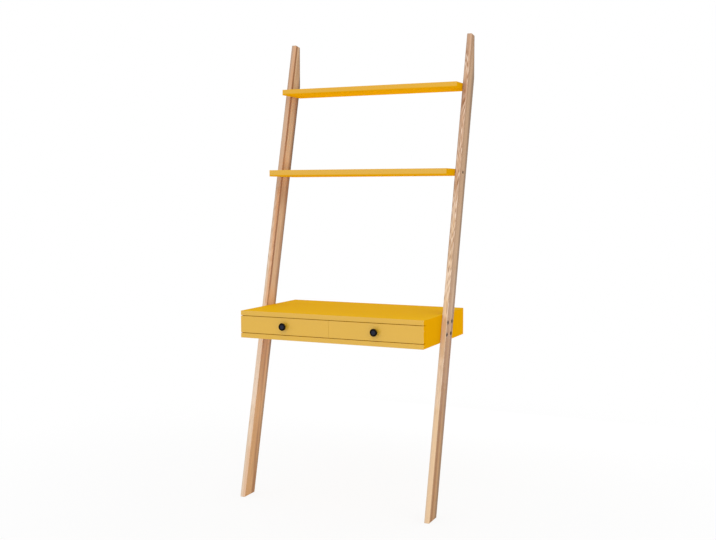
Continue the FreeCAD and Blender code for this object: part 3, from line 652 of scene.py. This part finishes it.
# %% Plywood
PLY = 12 * MM / 9                       # thickness of one sheet
INSIDE = 0.001                          # keeps both faces this share inside their outer sheets
GLUE_LINE = (0.43, 0.50)                # where glue shows, in sheets from the middle of one
ACROSS, ALONG = 26, 2.2                 # flames in a metre of veneer, across and along its grain
FINER = 30                              # fibres to a flame
PLY_SPECKLE = 1700                      # open ends of fibres in a metre of edge
BIRCH = seen(236, 214, 178)
BIRCH_FLAME = seen(230, 203, 162)
END_GRAIN = seen(176, 132, 88)
GLUE = seen(118, 82, 54)


def plywood(node):
    """Plywood for one flat board, laid along that board."""
    low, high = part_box(node)
    size = high - low
    through = min(range(3), key=lambda axis: size[axis])
    grain = max(range(3), key=lambda axis: size[axis])
    plies = max(3, round(size[through] / PLY))

    def build(point):
        axes = split(point)
        depth = (axes[through] - low[through]) * ((1 - 2 * INSIDE) / size[through]) + INSIDE
        layer = depth * plies
        crossed = (layer * 0.5).maths("FRACT").maths("GREATER_THAN", 0.5)
        glue = rise((layer.maths("FRACT") - 0.5).maths("ABSOLUTE"), *GLUE_LINE)
        scale = [ALONG if axis == grain else ACROSS for axis in range(3)]
        flame = rise(cloudy(point, scale, 2.0), 0.38, 0.66)
        fine = cloudy(point, [value * FINER for value in scale], 1.0)
        speckle = speckled(point, PLY_SPECKLE)
        wood = mixed(flame, BIRCH, BIRCH_FLAME)
        wood = mixed(rise(fine, 0.5, 0.8) * 0.22, wood, END_GRAIN)
        wood = mixed(crossed * (0.45 + speckle * 0.4), wood, END_GRAIN)
        wood = mixed(glue * 0.6, wood, GLUE)
        return {
            "Base Color": wood,
            "Roughness": 0.55 + fine * 0.15,
            "Normal": bumped(fine * (1 - crossed) + speckle * crossed, 0.04 * MM),
        }

    return finish("birch_" + node, build, **{"Specular IOR Level": 0.3})


BOX_BOARDS = ("inner_front", "side_left", "side_right", "back", "floor")
for side in DRAWERS:
    for board in BOX_BOARDS:
        node = f"{side}_drawer_{board}"
        dress(plywood(node), node)

# %% [markdown]
# ## Bright metals, beech and rubber
#
# The runners are strip steel, drawn to shape and zinc plated: the draw leaves fine lines along them,
# and the plating a faint cloudiness. Their balls are ground bright. The threaded inserts are turned
# brass. The dowels are beech, full of small brown flecks, and the stops behind the fronts are clear
# rubber. A picture of metal would have to be wrapped round every fold of a channel. Noise that is fine
# across the strip and long along it gives the drawn lines in the solid, on all faces at once.

# %% Metals
ZINC = seen(198, 202, 206)
ZINC_CLOUD = seen(176, 180, 178)
BRASS = seen(214, 172, 96)
BRASS_DARK = seen(178, 134, 66)
STEEL = seen(214, 216, 220)
STEEL_HAZE = seen(196, 199, 204)
DRAWN_LINES = (2600, 22, 2600)          # lumps of each pattern in a metre, on each axis
ZINC_CLOUDS = (130, 90, 130)
TURNING_CUTS = (2400, 600, 600)


def zinc_plate(point):
    drawn = cloudy(point, DRAWN_LINES, 2.0)
    cloud = cloudy(point, ZINC_CLOUDS, 2.0)
    return {
        "Base Color": mixed(rise(cloud, 0.35, 0.65), ZINC, ZINC_CLOUD),
        "Roughness": 0.28 + cloud * 0.12 + drawn * 0.08,
        "Normal": bumped(drawn, 0.01 * MM),
    }


def turned_brass(point):
    cuts = cloudy(point, TURNING_CUTS, 1.0)
    return {
        "Base Color": mixed(cuts, BRASS, BRASS_DARK),
        "Roughness": 0.25 + cuts * 0.15,
        "Normal": bumped(cuts, 0.02 * MM),
    }


def ground_steel(point):
    haze = speckled(point, 900)
    return {"Base Color": mixed(haze, STEEL, STEEL_HAZE), "Roughness": 0.06 + haze * 0.08}


zinc = finish("zinc_steel", zinc_plate, Metallic=1.0)
brass = finish("brass_insert", turned_brass, Metallic=1.0)
steel = finish("polished_steel", ground_steel, Metallic=1.0)
RACES = ("outer", "inner")
CHANNELS = ("fixed_channel", "middle_channel", "inner_channel")
for side in DRAWERS:
    dress(zinc, *[f"{side}_drawer_{race}_ball_cages" for race in RACES])
    dress(zinc, *[f"{side}_drawer_{end}_runner_{channel}" for end in DRAWERS for channel in CHANNELS])
dress(zinc, "wall_hangers")
dress(brass, "bolt_inserts")

# %% [markdown]
# ## Black finishes
#
# The knobs are powder coated: the powder melts into a skin with a fine grain and hardly any shine. The
# dish in each face carries a painted cold blue reflection, laid on by the distance from the knob's axis.
# Both knobs stand equally far from the middle of the desk, so X without its sign lets one finish serve
# both. The bolts are blackened steel, darker still and worn a little brown.

# %% Black powder coat and blackened steel
KNOB_BLACK = seen(20, 14, 8)
# Painted reflection: the cold blue that the dish would mirror.
DISH_REFLECTION_BLUE = seen(46, 50, 68)
DISH_EDGE = (6 * MM, 9.5 * MM)          # the painted blue reflection in the dish fades towards its edge
FACE_DEPTH = (3.2 * MM, 4.2 * MM)       # and ends just behind the floor of the dish
BOLT_BLACK = seen(9, 8, 7)
BOLT_WORN = seen(24, 20, 17)
knob_low, knob_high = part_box("right_drawer_knob")
KNOB_PLACE = (knob_low + knob_high) / 2


def powder_coat(point):
    x, y, z = split(point)
    grain = speckled(point, 2600)
    right, up = x.maths("ABSOLUTE") - KNOB_PLACE.x, z - KNOB_PLACE.z
    # the dish's painted blue reflection
    dish = 1 - rise((right * right + up * up).maths("SQRT"), *DISH_EDGE)
    dish = dish * (1 - rise(y - knob_low.y, *FACE_DEPTH))
    return {
        "Base Color": mixed(dish * (0.75 + grain * 0.25), KNOB_BLACK, DISH_REFLECTION_BLUE),
        "Roughness": 0.42 + grain * 0.14,
        "Normal": bumped(grain, 0.012 * MM),
    }


def blackened(point):
    grain = speckled(point, 1500, 2.0)
    return {
        "Base Color": mixed(grain, BOLT_BLACK, BOLT_WORN),
        "Roughness": 0.46 + grain * 0.16,
        "Normal": bumped(grain, 0.01 * MM),
    }


knob_coat = finish("black_knob", powder_coat, **{"Specular IOR Level": 0.06})
bolt_black = finish("black_steel", blackened, **{"Specular IOR Level": 0.015})

# %% Beech and rubber
BEECH = seen(226, 186, 146)
BEECH_DARK = seen(208, 162, 120)
BEECH_FLECK = seen(150, 104, 70)
RUBBER = seen(238, 240, 240)
RUBBER_HAZE = seen(226, 230, 230)


def beech(point):
    flecks = rise(cloudy(point, (1100, 1100, 380), 1.0), 0.60, 0.70)
    tone = cloudy(point, (120, 120, 30), 2.0)
    return {
        "Base Color": mixed(flecks * 0.6, mixed(tone, BEECH, BEECH_DARK), BEECH_FLECK),
        "Roughness": 0.6 + tone * 0.1,
        "Normal": bumped(flecks, 0.03 * MM),
    }


def soft_rubber(point):
    haze = speckled(point, 700)
    return {
        "Base Color": mixed(haze, RUBBER, RUBBER_HAZE),
        "Roughness": 0.22 + haze * 0.2,
        "Normal": bumped(haze, 0.02 * MM),
    }


dress(finish("beech", beech, **{"Specular IOR Level": 0.3}), "dowels")
rubber = finish("clear_rubber", soft_rubber, IOR=1.45, **{"Transmission Weight": 0.75})

# %% [markdown]
# ## Turned pieces
#
# Knobs, bolts, screws and rubber stops are all round about an axis, so each can be described by a list
# of rings from one pole to the other: how far out the ring is, and how high. Joining ring to ring gives
# a closed skin, with no seam to stitch. A driver's socket is six-sided, so a ring may also be bent to a
# hexagon. Every pattern is one wide and one long, and the head's top is at zero, so that the tree which
# places it can give it any size.

# %% A pattern from rings
CRISP = math.radians(34)                # edges that turn by more than this stay crisp


def added(name, data):
    """An object that holds some data, in the scene."""
    thing = bpy.data.objects.new(name, data)
    bpy.context.scene.collection.objects.link(thing)
    return thing


def turned(name, rings, width, length, sides):
    """A pattern from rings of radius, height and whether it is six-sided, for a fixing of a real size."""
    corners, rows, faces = [], [], []
    for radius, height, six_sided in rings:
        if radius == 0:
            rows.append([len(corners)] * (sides + 1))
            corners.append((0, 0, height / length))
            continue
        row = [len(corners) + step for step in range(sides)]
        rows.append(row + row[:1])
        for step in range(sides):
            turn = math.tau * step / sides
            reach = radius / math.cos(turn % (math.pi / 3) - math.pi / 6) if six_sided else radius
            corners.append((reach * math.cos(turn) / width, reach * math.sin(turn) / width, height / length))
    for upper, lower in zip(rows, rows[1:]):
        for step in range(sides):
            loop = (upper[step], upper[step + 1], lower[step + 1], lower[step])
            faces.append(tuple(dict.fromkeys(loop)))
    mesh = bpy.data.meshes.new(name)
    mesh.from_pydata(corners, [], faces)
    work = bmesh.new()
    work.from_mesh(mesh)
    bmesh.ops.recalc_face_normals(work, faces=work.faces)
    work.to_mesh(mesh)
    work.free()
    mesh.shade_smooth()
    mesh.set_sharp_from_angle(angle=CRISP)
    return added(name, mesh)


def bow(start, through, end, steps):
    """Points along the arc through three points of a flat outline."""
    (ax, ay), (bx, by), (cx, cy) = start, through, end
    twist = 2 * (ax * (by - cy) + bx * (cy - ay) + cx * (ay - by))
    squares = [x * x + y * y for x, y in (start, through, end)]
    ox = (squares[0] * (by - cy) + squares[1] * (cy - ay) + squares[2] * (ay - by)) / twist
    oy = (squares[0] * (cx - bx) + squares[1] * (ax - cx) + squares[2] * (bx - ax)) / twist
    turns = [math.atan2(y - oy, x - ox) for x, y in (start, through, end)]
    for place in (1, 2):
        while turns[place] - turns[place - 1] > math.pi:
            turns[place] -= math.tau
        while turns[place] - turns[place - 1] < -math.pi:
            turns[place] += math.tau
    radius = math.hypot(ax - ox, ay - oy)
    sweep = turns[2] - turns[0]
    angles = [turns[0] + sweep * step / steps for step in range(steps + 1)]
    return [(ox + radius * math.cos(angle), oy + radius * math.sin(angle)) for angle in angles]


# %% A socket screw, in millimetres
EASED = 0.15                            # rounding of a head's edge
DRILL_POINT = 0.2                       # hollow that the drill leaves under a socket
SOCKET_SHARE = 2 / 3                    # depth of a socket, as a share of its head's
PITCH, THREAD_DEPTH = 1.0, 0.35
THREAD_START, THREAD_END = 1, 2         # plain shank under the head and at the tip
TIP = 0.5                               # how much thinner the tip is all round


def screw(name, head, tall, shank, drive, length, sunk, sides=24):
    """A head so wide and tall on a threaded shank, with a socket so wide between its flats."""
    deep = tall * SOCKET_SHARE
    rings = [(0, -deep - DRILL_POINT, False), (drive / 2, -deep, True), (drive / 2, -EASED, True)]
    rings += [(drive / 2 + 3 * EASED, 0, False), (head / 2 - EASED, 0, False), (head / 2, -EASED, False)]
    if not sunk:
        rings.append((head / 2, -tall, False))
    rings.append((shank / 2, -tall, False))
    for turn in range(int((length - tall - THREAD_START - THREAD_END) / PITCH)):
        level = -tall - THREAD_START - turn * PITCH
        rings += [(shank / 2 - THREAD_DEPTH, level, False), (shank / 2, level - PITCH / 2, False)]
    rings += [(shank / 2 - TIP, -length, False), (0, -length, False)]
    return turned(name, rings, head, length, sides)


# %% [markdown]
# ## A tree that sets fixings in place
#
# Ten bolts and more than sixty screws differ only in where they are and which way they look. A
# Geometry Nodes tree takes those places as points, each with a direction to look along, and puts a
# copy of the pattern on every one. Its width and length are inputs of the tree, measured from the cut
# pieces.

# %% Geometry Nodes helpers
def new_tree(name, inputs):
    """An empty tree that takes points and named inputs, and the wire of its first input."""
    tree = bpy.data.node_groups.new(name, "GeometryNodeTree")
    tree.interface.new_socket("Geometry", in_out="OUTPUT", socket_type="NodeSocketGeometry")
    for label, kind in {"Points": "Geometry", **inputs}.items():
        tree.interface.new_socket(label, in_out="INPUT", socket_type="NodeSocket" + kind)
    return tree, Wire(tree).node("NodeGroupInput")


def close_tree(geometry, given):
    """Ends a tree: real geometry, in the finish that it was given."""
    whole = geometry.node("GeometryNodeRealizeInstances", {}, {"Geometry": geometry})
    sockets = {"Geometry": whole, "Material": given.also("Finish")}
    done = whole.node("GeometryNodeSetMaterial", {}, sockets)
    done.node("NodeGroupOutput", {}, {"Geometry": done})


def grown(name, points, tree, values):
    """Runs a tree on a mesh of points and keeps what it makes as a plain mesh."""
    piece = added(name, points)
    modifier = piece.modifiers.new("tree", "NODES")
    modifier.node_group = tree
    for item in tree.interface.items_tree:
        if item.in_out == "INPUT" and item.name in values:
            modifier[item.identifier] = values[item.name]
    graph = bpy.context.evaluated_depsgraph_get()
    mesh = bpy.data.meshes.new_from_object(piece.evaluated_get(graph), depsgraph=graph)
    piece.modifiers.remove(modifier)
    piece.data = mesh
    return piece


def fixing_tree():
    inputs = {"Pattern": "Object", "Width": "Float", "Length": "Float", "Finish": "Material"}
    tree, given = new_tree("fixings", inputs)
    vector = {"data_type": "FLOAT_VECTOR"}
    out = given.node("GeometryNodeInputNamedAttribute", vector, {"Name": "out"}, "Attribute")
    turn = out.node("FunctionNodeAlignRotationToVector", {"axis": "Z"}, {"Vector": out})
    pattern = given.node("GeometryNodeObjectInfo", {}, {"Object": given.also("Pattern")}, "Geometry")
    width = given.also("Width")
    size = width.node("ShaderNodeCombineXYZ", {}, {"X": width, "Y": width, "Z": given.also("Length")})
    sockets = {"Points": given, "Instance": pattern, "Rotation": turn, "Scale": size}
    close_tree(given.node("GeometryNodeInstanceOnPoints", {}, sockets), given)
    return tree


FIXING_TREE = fixing_tree()


def fit(node, along, pattern, material, body):
    """Puts a pattern in the place of every fixing in a node."""
    places = seats(node, along)
    points = bpy.data.meshes.new(node + "_points")
    points.from_pydata([place for place, *_ in places], [], [])
    out = points.attributes.new("out", "FLOAT_VECTOR", "POINT")
    for item, (_, way, *_) in zip(out.data, places):
        item.vector = way
    width, length = places[0][2:]
    values = {"Pattern": pattern, "Width": width, "Length": length, "Finish": material}
    piece = grown(node + "_turned", points, FIXING_TREE, values)
    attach(piece, body)
    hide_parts(node)
    DRESSED.add(node)
    print(node, len(places), "set,", len(piece.data.polygons), "faces")


# %% [markdown]
# ## Knobs
#
# Each drawer has one round knob: a small foot, a waisted neck to get the fingers behind, and a head
# with a rolled rim and a shallow dish in its face. Turned metal shows a smooth highlight only when the
# outline is fine enough, so the arcs are walked in small steps.

# %% Outline of a knob, in millimetres from the drawer front
KNOB_WIDTH, KNOB_REACH = 29.0, 17.0
HOLE, HOLE_DEPTH = 2.1, 10              # radius and depth of the threaded hole
FOOT, NECK, COLLAR = 7.0, 5.5, 8.375
FOOT_HEIGHT, SHOULDER = 2.0, 10.5
FOOT_EDGE = 0.2                         # rounding of the foot's edges
RIM = 3.25                              # radius of the rolled rim
DISH, DISH_DEPTH = 10.45, 2.8
rim_centre = KNOB_WIDTH / 2 - RIM
dish_floor = KNOB_REACH - DISH_DEPTH
hollow = (DISH * DISH + DISH_DEPTH * DISH_DEPTH) / (2 * DISH_DEPTH)    # radius of the dish's curve
half_way = (DISH / 2, dish_floor + hollow - math.sqrt(hollow * hollow - DISH * DISH / 4))
waist = (NECK, (FOOT_HEIGHT + SHOULDER) / 2)
outline = [(0, HOLE_DEPTH), (HOLE, HOLE_DEPTH), (HOLE, 0)]
outline += [(FOOT - FOOT_EDGE, 0), (FOOT, FOOT_EDGE), (FOOT, FOOT_HEIGHT - FOOT_EDGE)]
outline += bow((FOOT - FOOT_EDGE / 2, FOOT_HEIGHT), waist, (COLLAR, SHOULDER), steps=14)
outline += bow((rim_centre, SHOULDER), (KNOB_WIDTH / 2, SHOULDER + RIM), (rim_centre, KNOB_REACH), steps=16)
outline += bow((DISH + 0.1, KNOB_REACH - 0.05), half_way, (0.4, dish_floor + 0.002), steps=12)
outline.append((0, dish_floor))
knob_rings = [(radius, out - KNOB_REACH, False) for radius, out in outline]
knob_pattern = turned("knob_pattern", knob_rings, KNOB_WIDTH, KNOB_REACH, 96)
for side in DRAWERS:
    fit(f"{side}_drawer_knob", Y, knob_pattern, knob_coat, f"{side}_drawer")

# %% [markdown]
# ## Bolts, screws and stops
#
# Five black bolts on each side board carry the desk box and the middle shelf. Everything inside is held
# by small zinc-plated screws: sunk ones where a board or a plate must lie flat, and raised heads in the
# runners, on the drawer fronts and behind the knobs.

# %% Fit the bolts and screws
# Head, its height, shank, socket between its flats and length.
bolt = screw("bolt_pattern", 12, 3.6, 6, 4, 30, sunk=True, sides=48)
desk_screw = screw("desk_screw_pattern", 8, 3, 4, 2.5, 45, sunk=True)
runner_screw = screw("runner_screw_pattern", 6.5, 1.2, 3.5, 2, 11.4, sunk=False)
box_screw = screw("box_screw_pattern", 6.5, 2.4, 3.5, 2, 32, sunk=True)
front_screw = screw("front_screw_pattern", 7.5, 2.2, 3.5, 2, 26.2, sunk=False)
knob_screw = screw("knob_screw_pattern", 8, 2.4, 4, 2.5, 42.4, sunk=False)
hanger_screw = screw("hanger_screw_pattern", 5.4, 1.8, 3, 1.5, 18, sunk=True)
fit("leg_bolts", X, bolt, bolt_black, "desk_frame")
fit("desk_screws", Z, desk_screw, zinc, "desk_frame")
fit("desk_runner_screws", X, runner_screw, zinc, "desk_frame")
fit("wall_hanger_screws", Y, hanger_screw, zinc, "desk_frame")
for side in DRAWERS:
    body = f"{side}_drawer"
    fit(body + "_box_screws", X, box_screw, zinc, body)
    fit(body + "_front_screws", Y, front_screw, zinc, body)
    fit(body + "_runner_screws", X, runner_screw, zinc, body)
    fit(body + "_knob_screw", Y, knob_screw, zinc, body)

# %% Rubber stops, with a domed face
STOP_WIDTH, STOP_DEPTH = 7, 0.9
DOME = [(0, 0), (1.4, -0.04), (2.4, -0.14), (3.05, -0.32), (3.4, -0.58), (STOP_WIDTH / 2, -0.8)]
stop_outline = DOME + [(STOP_WIDTH / 2, -STOP_DEPTH), (0, -STOP_DEPTH)]
stop_rings = [(radius, height, False) for radius, height in stop_outline]
stop = turned("stop_pattern", stop_rings, STOP_WIDTH, STOP_DEPTH, 32)
fit("front_bumpers", Y, stop, rubber, "desk_frame")

# %% [markdown]
# ## Runner balls
#
# Each runner rolls on rows of steel balls held a fixed distance apart by a strip of sheet steel. A row
# is a rule, so the tree is given only where each row starts, the distance between balls and how many
# there are, and makes the row itself.

# %% A tree for rows of balls
ROUND = {"Segments": 20, "Rings": 10}   # of a ball


def ball_tree():
    inputs = {"Ball Diameter": "Float", "Pitch": "Float", "Balls In A Row": "Int", "Finish": "Material"}
    tree, given = new_tree("ball_rows", inputs)
    pitch = given.also("Pitch")
    step = pitch.node("ShaderNodeCombineXYZ", {}, {"Y": pitch})
    sockets = {"Count": given.also("Balls In A Row"), "Offset": step}
    row = given.node("GeometryNodeMeshLine", {"mode": "OFFSET"}, sockets)
    rows = given.node("GeometryNodeInstanceOnPoints", {}, {"Points": given, "Instance": row})
    rows = rows.node("GeometryNodeRealizeInstances", {}, {"Geometry": rows})
    sockets = {**ROUND, "Radius": given.also("Ball Diameter") * 0.5}
    ball = given.node("GeometryNodeMeshUVSphere", {}, sockets, "Mesh")
    ball = ball.node("GeometryNodeSetShadeSmooth", {}, {"Geometry": ball})
    close_tree(given.node("GeometryNodeInstanceOnPoints", {}, {"Points": rows, "Instance": ball}), given)
    return tree


# %% Fill the runners with balls
BALL_TREE = ball_tree()
for side in DRAWERS:
    for race in RACES:
        node = f"{side}_drawer_{race}_balls"
        boxes = [limits(points) for points in separate(node)]
        rows = {}
        for low, high in boxes:
            centre = (low + high) / 2
            rows.setdefault((round(centre.x, 5), round(centre.z, 5)), []).append(centre.y)
        first_row = next(iter(rows.values()))
        count = len(first_row)
        pitch = (max(first_row) - min(first_row)) / (count - 1)
        starts = bpy.data.meshes.new(node + "_starts")
        starts.from_pydata([(x, min(places), z) for (x, z), places in rows.items()], [], [])
        values = {"Ball Diameter": boxes[0][1].y - boxes[0][0].y, "Pitch": pitch, "Balls In A Row": count}
        piece = grown(node + "_round", starts, BALL_TREE, {**values, "Finish": steel})
        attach(piece, f"{side}_{race}_balls")
        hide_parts(node)
        DRESSED.add(node)
        print(node, len(rows), "rows of", count, "faces", len(piece.data.polygons))

# %% Put the patterns away
for pattern in [item for item in bpy.data.objects if item.name.endswith("_pattern")]:
    bpy.data.objects.remove(pattern)
print("without a finish:", sorted(set(frame["nodes"]) - DRESSED))

# %% [markdown]
# ## The studio
#
# The desk stands on a pale floor in front of nothing. To the camera and in reflections the world is
# plain white, and the floor is mixed with white until only a trace of the desk's shadow is left near its
# feet. Where they light the desk, the world is a little dimmer and the floor a pale grey. Most of the
# light comes evenly from all round, as in a white tent. Three soft boxes add the rest: one overhead, one
# on the right, and one low behind the desk that reaches the undersides.

# %% Floor and world
FLOOR_HALF = 7.0                        # from the middle of the floor to its edges
FLOOR_LEVEL = -0.5 * MM                 # a hair under the feet, so that no two faces share a plane
FLOOR_COLOUR = seen(236, 236, 236)
FLOOR_WHITE = 0.86                      # share of plain white that the camera sees near the desk
FLOOR_FADE = (0.7, 2.2)                 # distances between which that share grows to all
WORLD_LIGHT = 0.87                      # strength of the world where it lights a surface
WHITE = (1.0, 1.0, 1.0, 1.0)


def background_rays(wire):
    """1 for the rays that see the background: from the camera, in gloss and through glass."""
    ray = wire.node("ShaderNodeLightPath", output="Is Camera Ray")
    return ray.maths("MAXIMUM", ray.also("Is Glossy Ray")).maths("MAXIMUM", ray.also("Is Transmission Ray"))


def studio_floor():
    mesh = bpy.data.meshes.new("floor")
    corners = [(-1, -1), (1, -1), (1, 1), (-1, 1)]
    mesh.from_pydata([(x * FLOOR_HALF, y * FLOOR_HALF, FLOOR_LEVEL) for x, y in corners], [], [(0, 1, 2, 3)])
    floor = added("floor", mesh)
    material = bpy.data.materials.new("pale_floor")
    bare = cleared(material)
    matt = bare.node("ShaderNodeBsdfDiffuse", {}, {"Color": (*FLOOR_COLOUR, 1.0)})
    place = bare.node("ShaderNodeTexCoord", output="Object")
    distance = place.node("ShaderNodeVectorMath", {"operation": "LENGTH"}, {"Vector": place}, "Value")
    share = background_rays(bare) * (FLOOR_WHITE + rise(distance, *FLOOR_FADE) * (1 - FLOOR_WHITE))
    white = bare.node("ShaderNodeEmission", {}, {"Color": WHITE, "Strength": 1.0})
    both = bare.node("ShaderNodeMixShader", {}, {0: share, 1: matt, 2: white})
    bare.node("ShaderNodeOutputMaterial", {}, {"Surface": both})
    mesh.materials.append(material)


def studio_world():
    world = bpy.data.worlds.new("studio")
    bpy.context.scene.world = world
    bare = cleared(world)
    white = background_rays(bare)
    strength = white + (1 - white) * WORLD_LIGHT
    light = bare.node("ShaderNodeBackground", {}, {"Color": WHITE, "Strength": strength})
    bare.node("ShaderNodeOutputWorld", {}, {"Surface": light})


studio_floor()
studio_world()

# %% Soft boxes
CENTRE = (CAD_BOX[0] + CAD_BOX[1]) / 2
# Each has its place, its width and height, and its power in watts.
LAMPS = {
    "overhead": ((0.2, -1.8, 3.5), (2.2, 2.2), 16),
    "right": ((3.6, -0.9, 1.3), (2.2, 2.4), 7),
    "behind": ((0.0, 1.7, 0.05), (3.0, 1.4), 43),
}


def soft_box(name, place, size, power):
    """A lamp that faces the middle of the desk and isn't seen itself."""
    light = bpy.data.lights.new(name, "AREA")
    light.shape = "RECTANGLE"
    light.size, light.size_y = size
    light.energy = power
    box = added(name, light)
    box.location = place
    box.rotation_euler = (CENTRE - Vector(place)).to_track_quat("-Z", "Y").to_euler()
    box.visible_camera = False


for name, lamp in LAMPS.items():
    soft_box(name, *lamp)
print("soft boxes:", sorted(LAMPS))

# %% [markdown]
# ## The camera
#
# It stands in front and to the right at breast height and looks slightly down with a 50 mm lens.

# %% Camera
EYE = (1.6059, -3.5062, 1.1767)
DOWN, TO_LEFT = 4.31, 24.46             # degrees below level and to the left of straight ahead
camera = added("camera", bpy.data.cameras.new("camera"))
camera.data.lens = 50
camera.data.sensor_width = 36
camera.location = EYE
camera.rotation_euler = (math.radians(90 - DOWN), 0, math.radians(TO_LEFT))
bpy.context.scene.camera = camera
bpy.context.scene.view_settings.view_transform = "Standard"
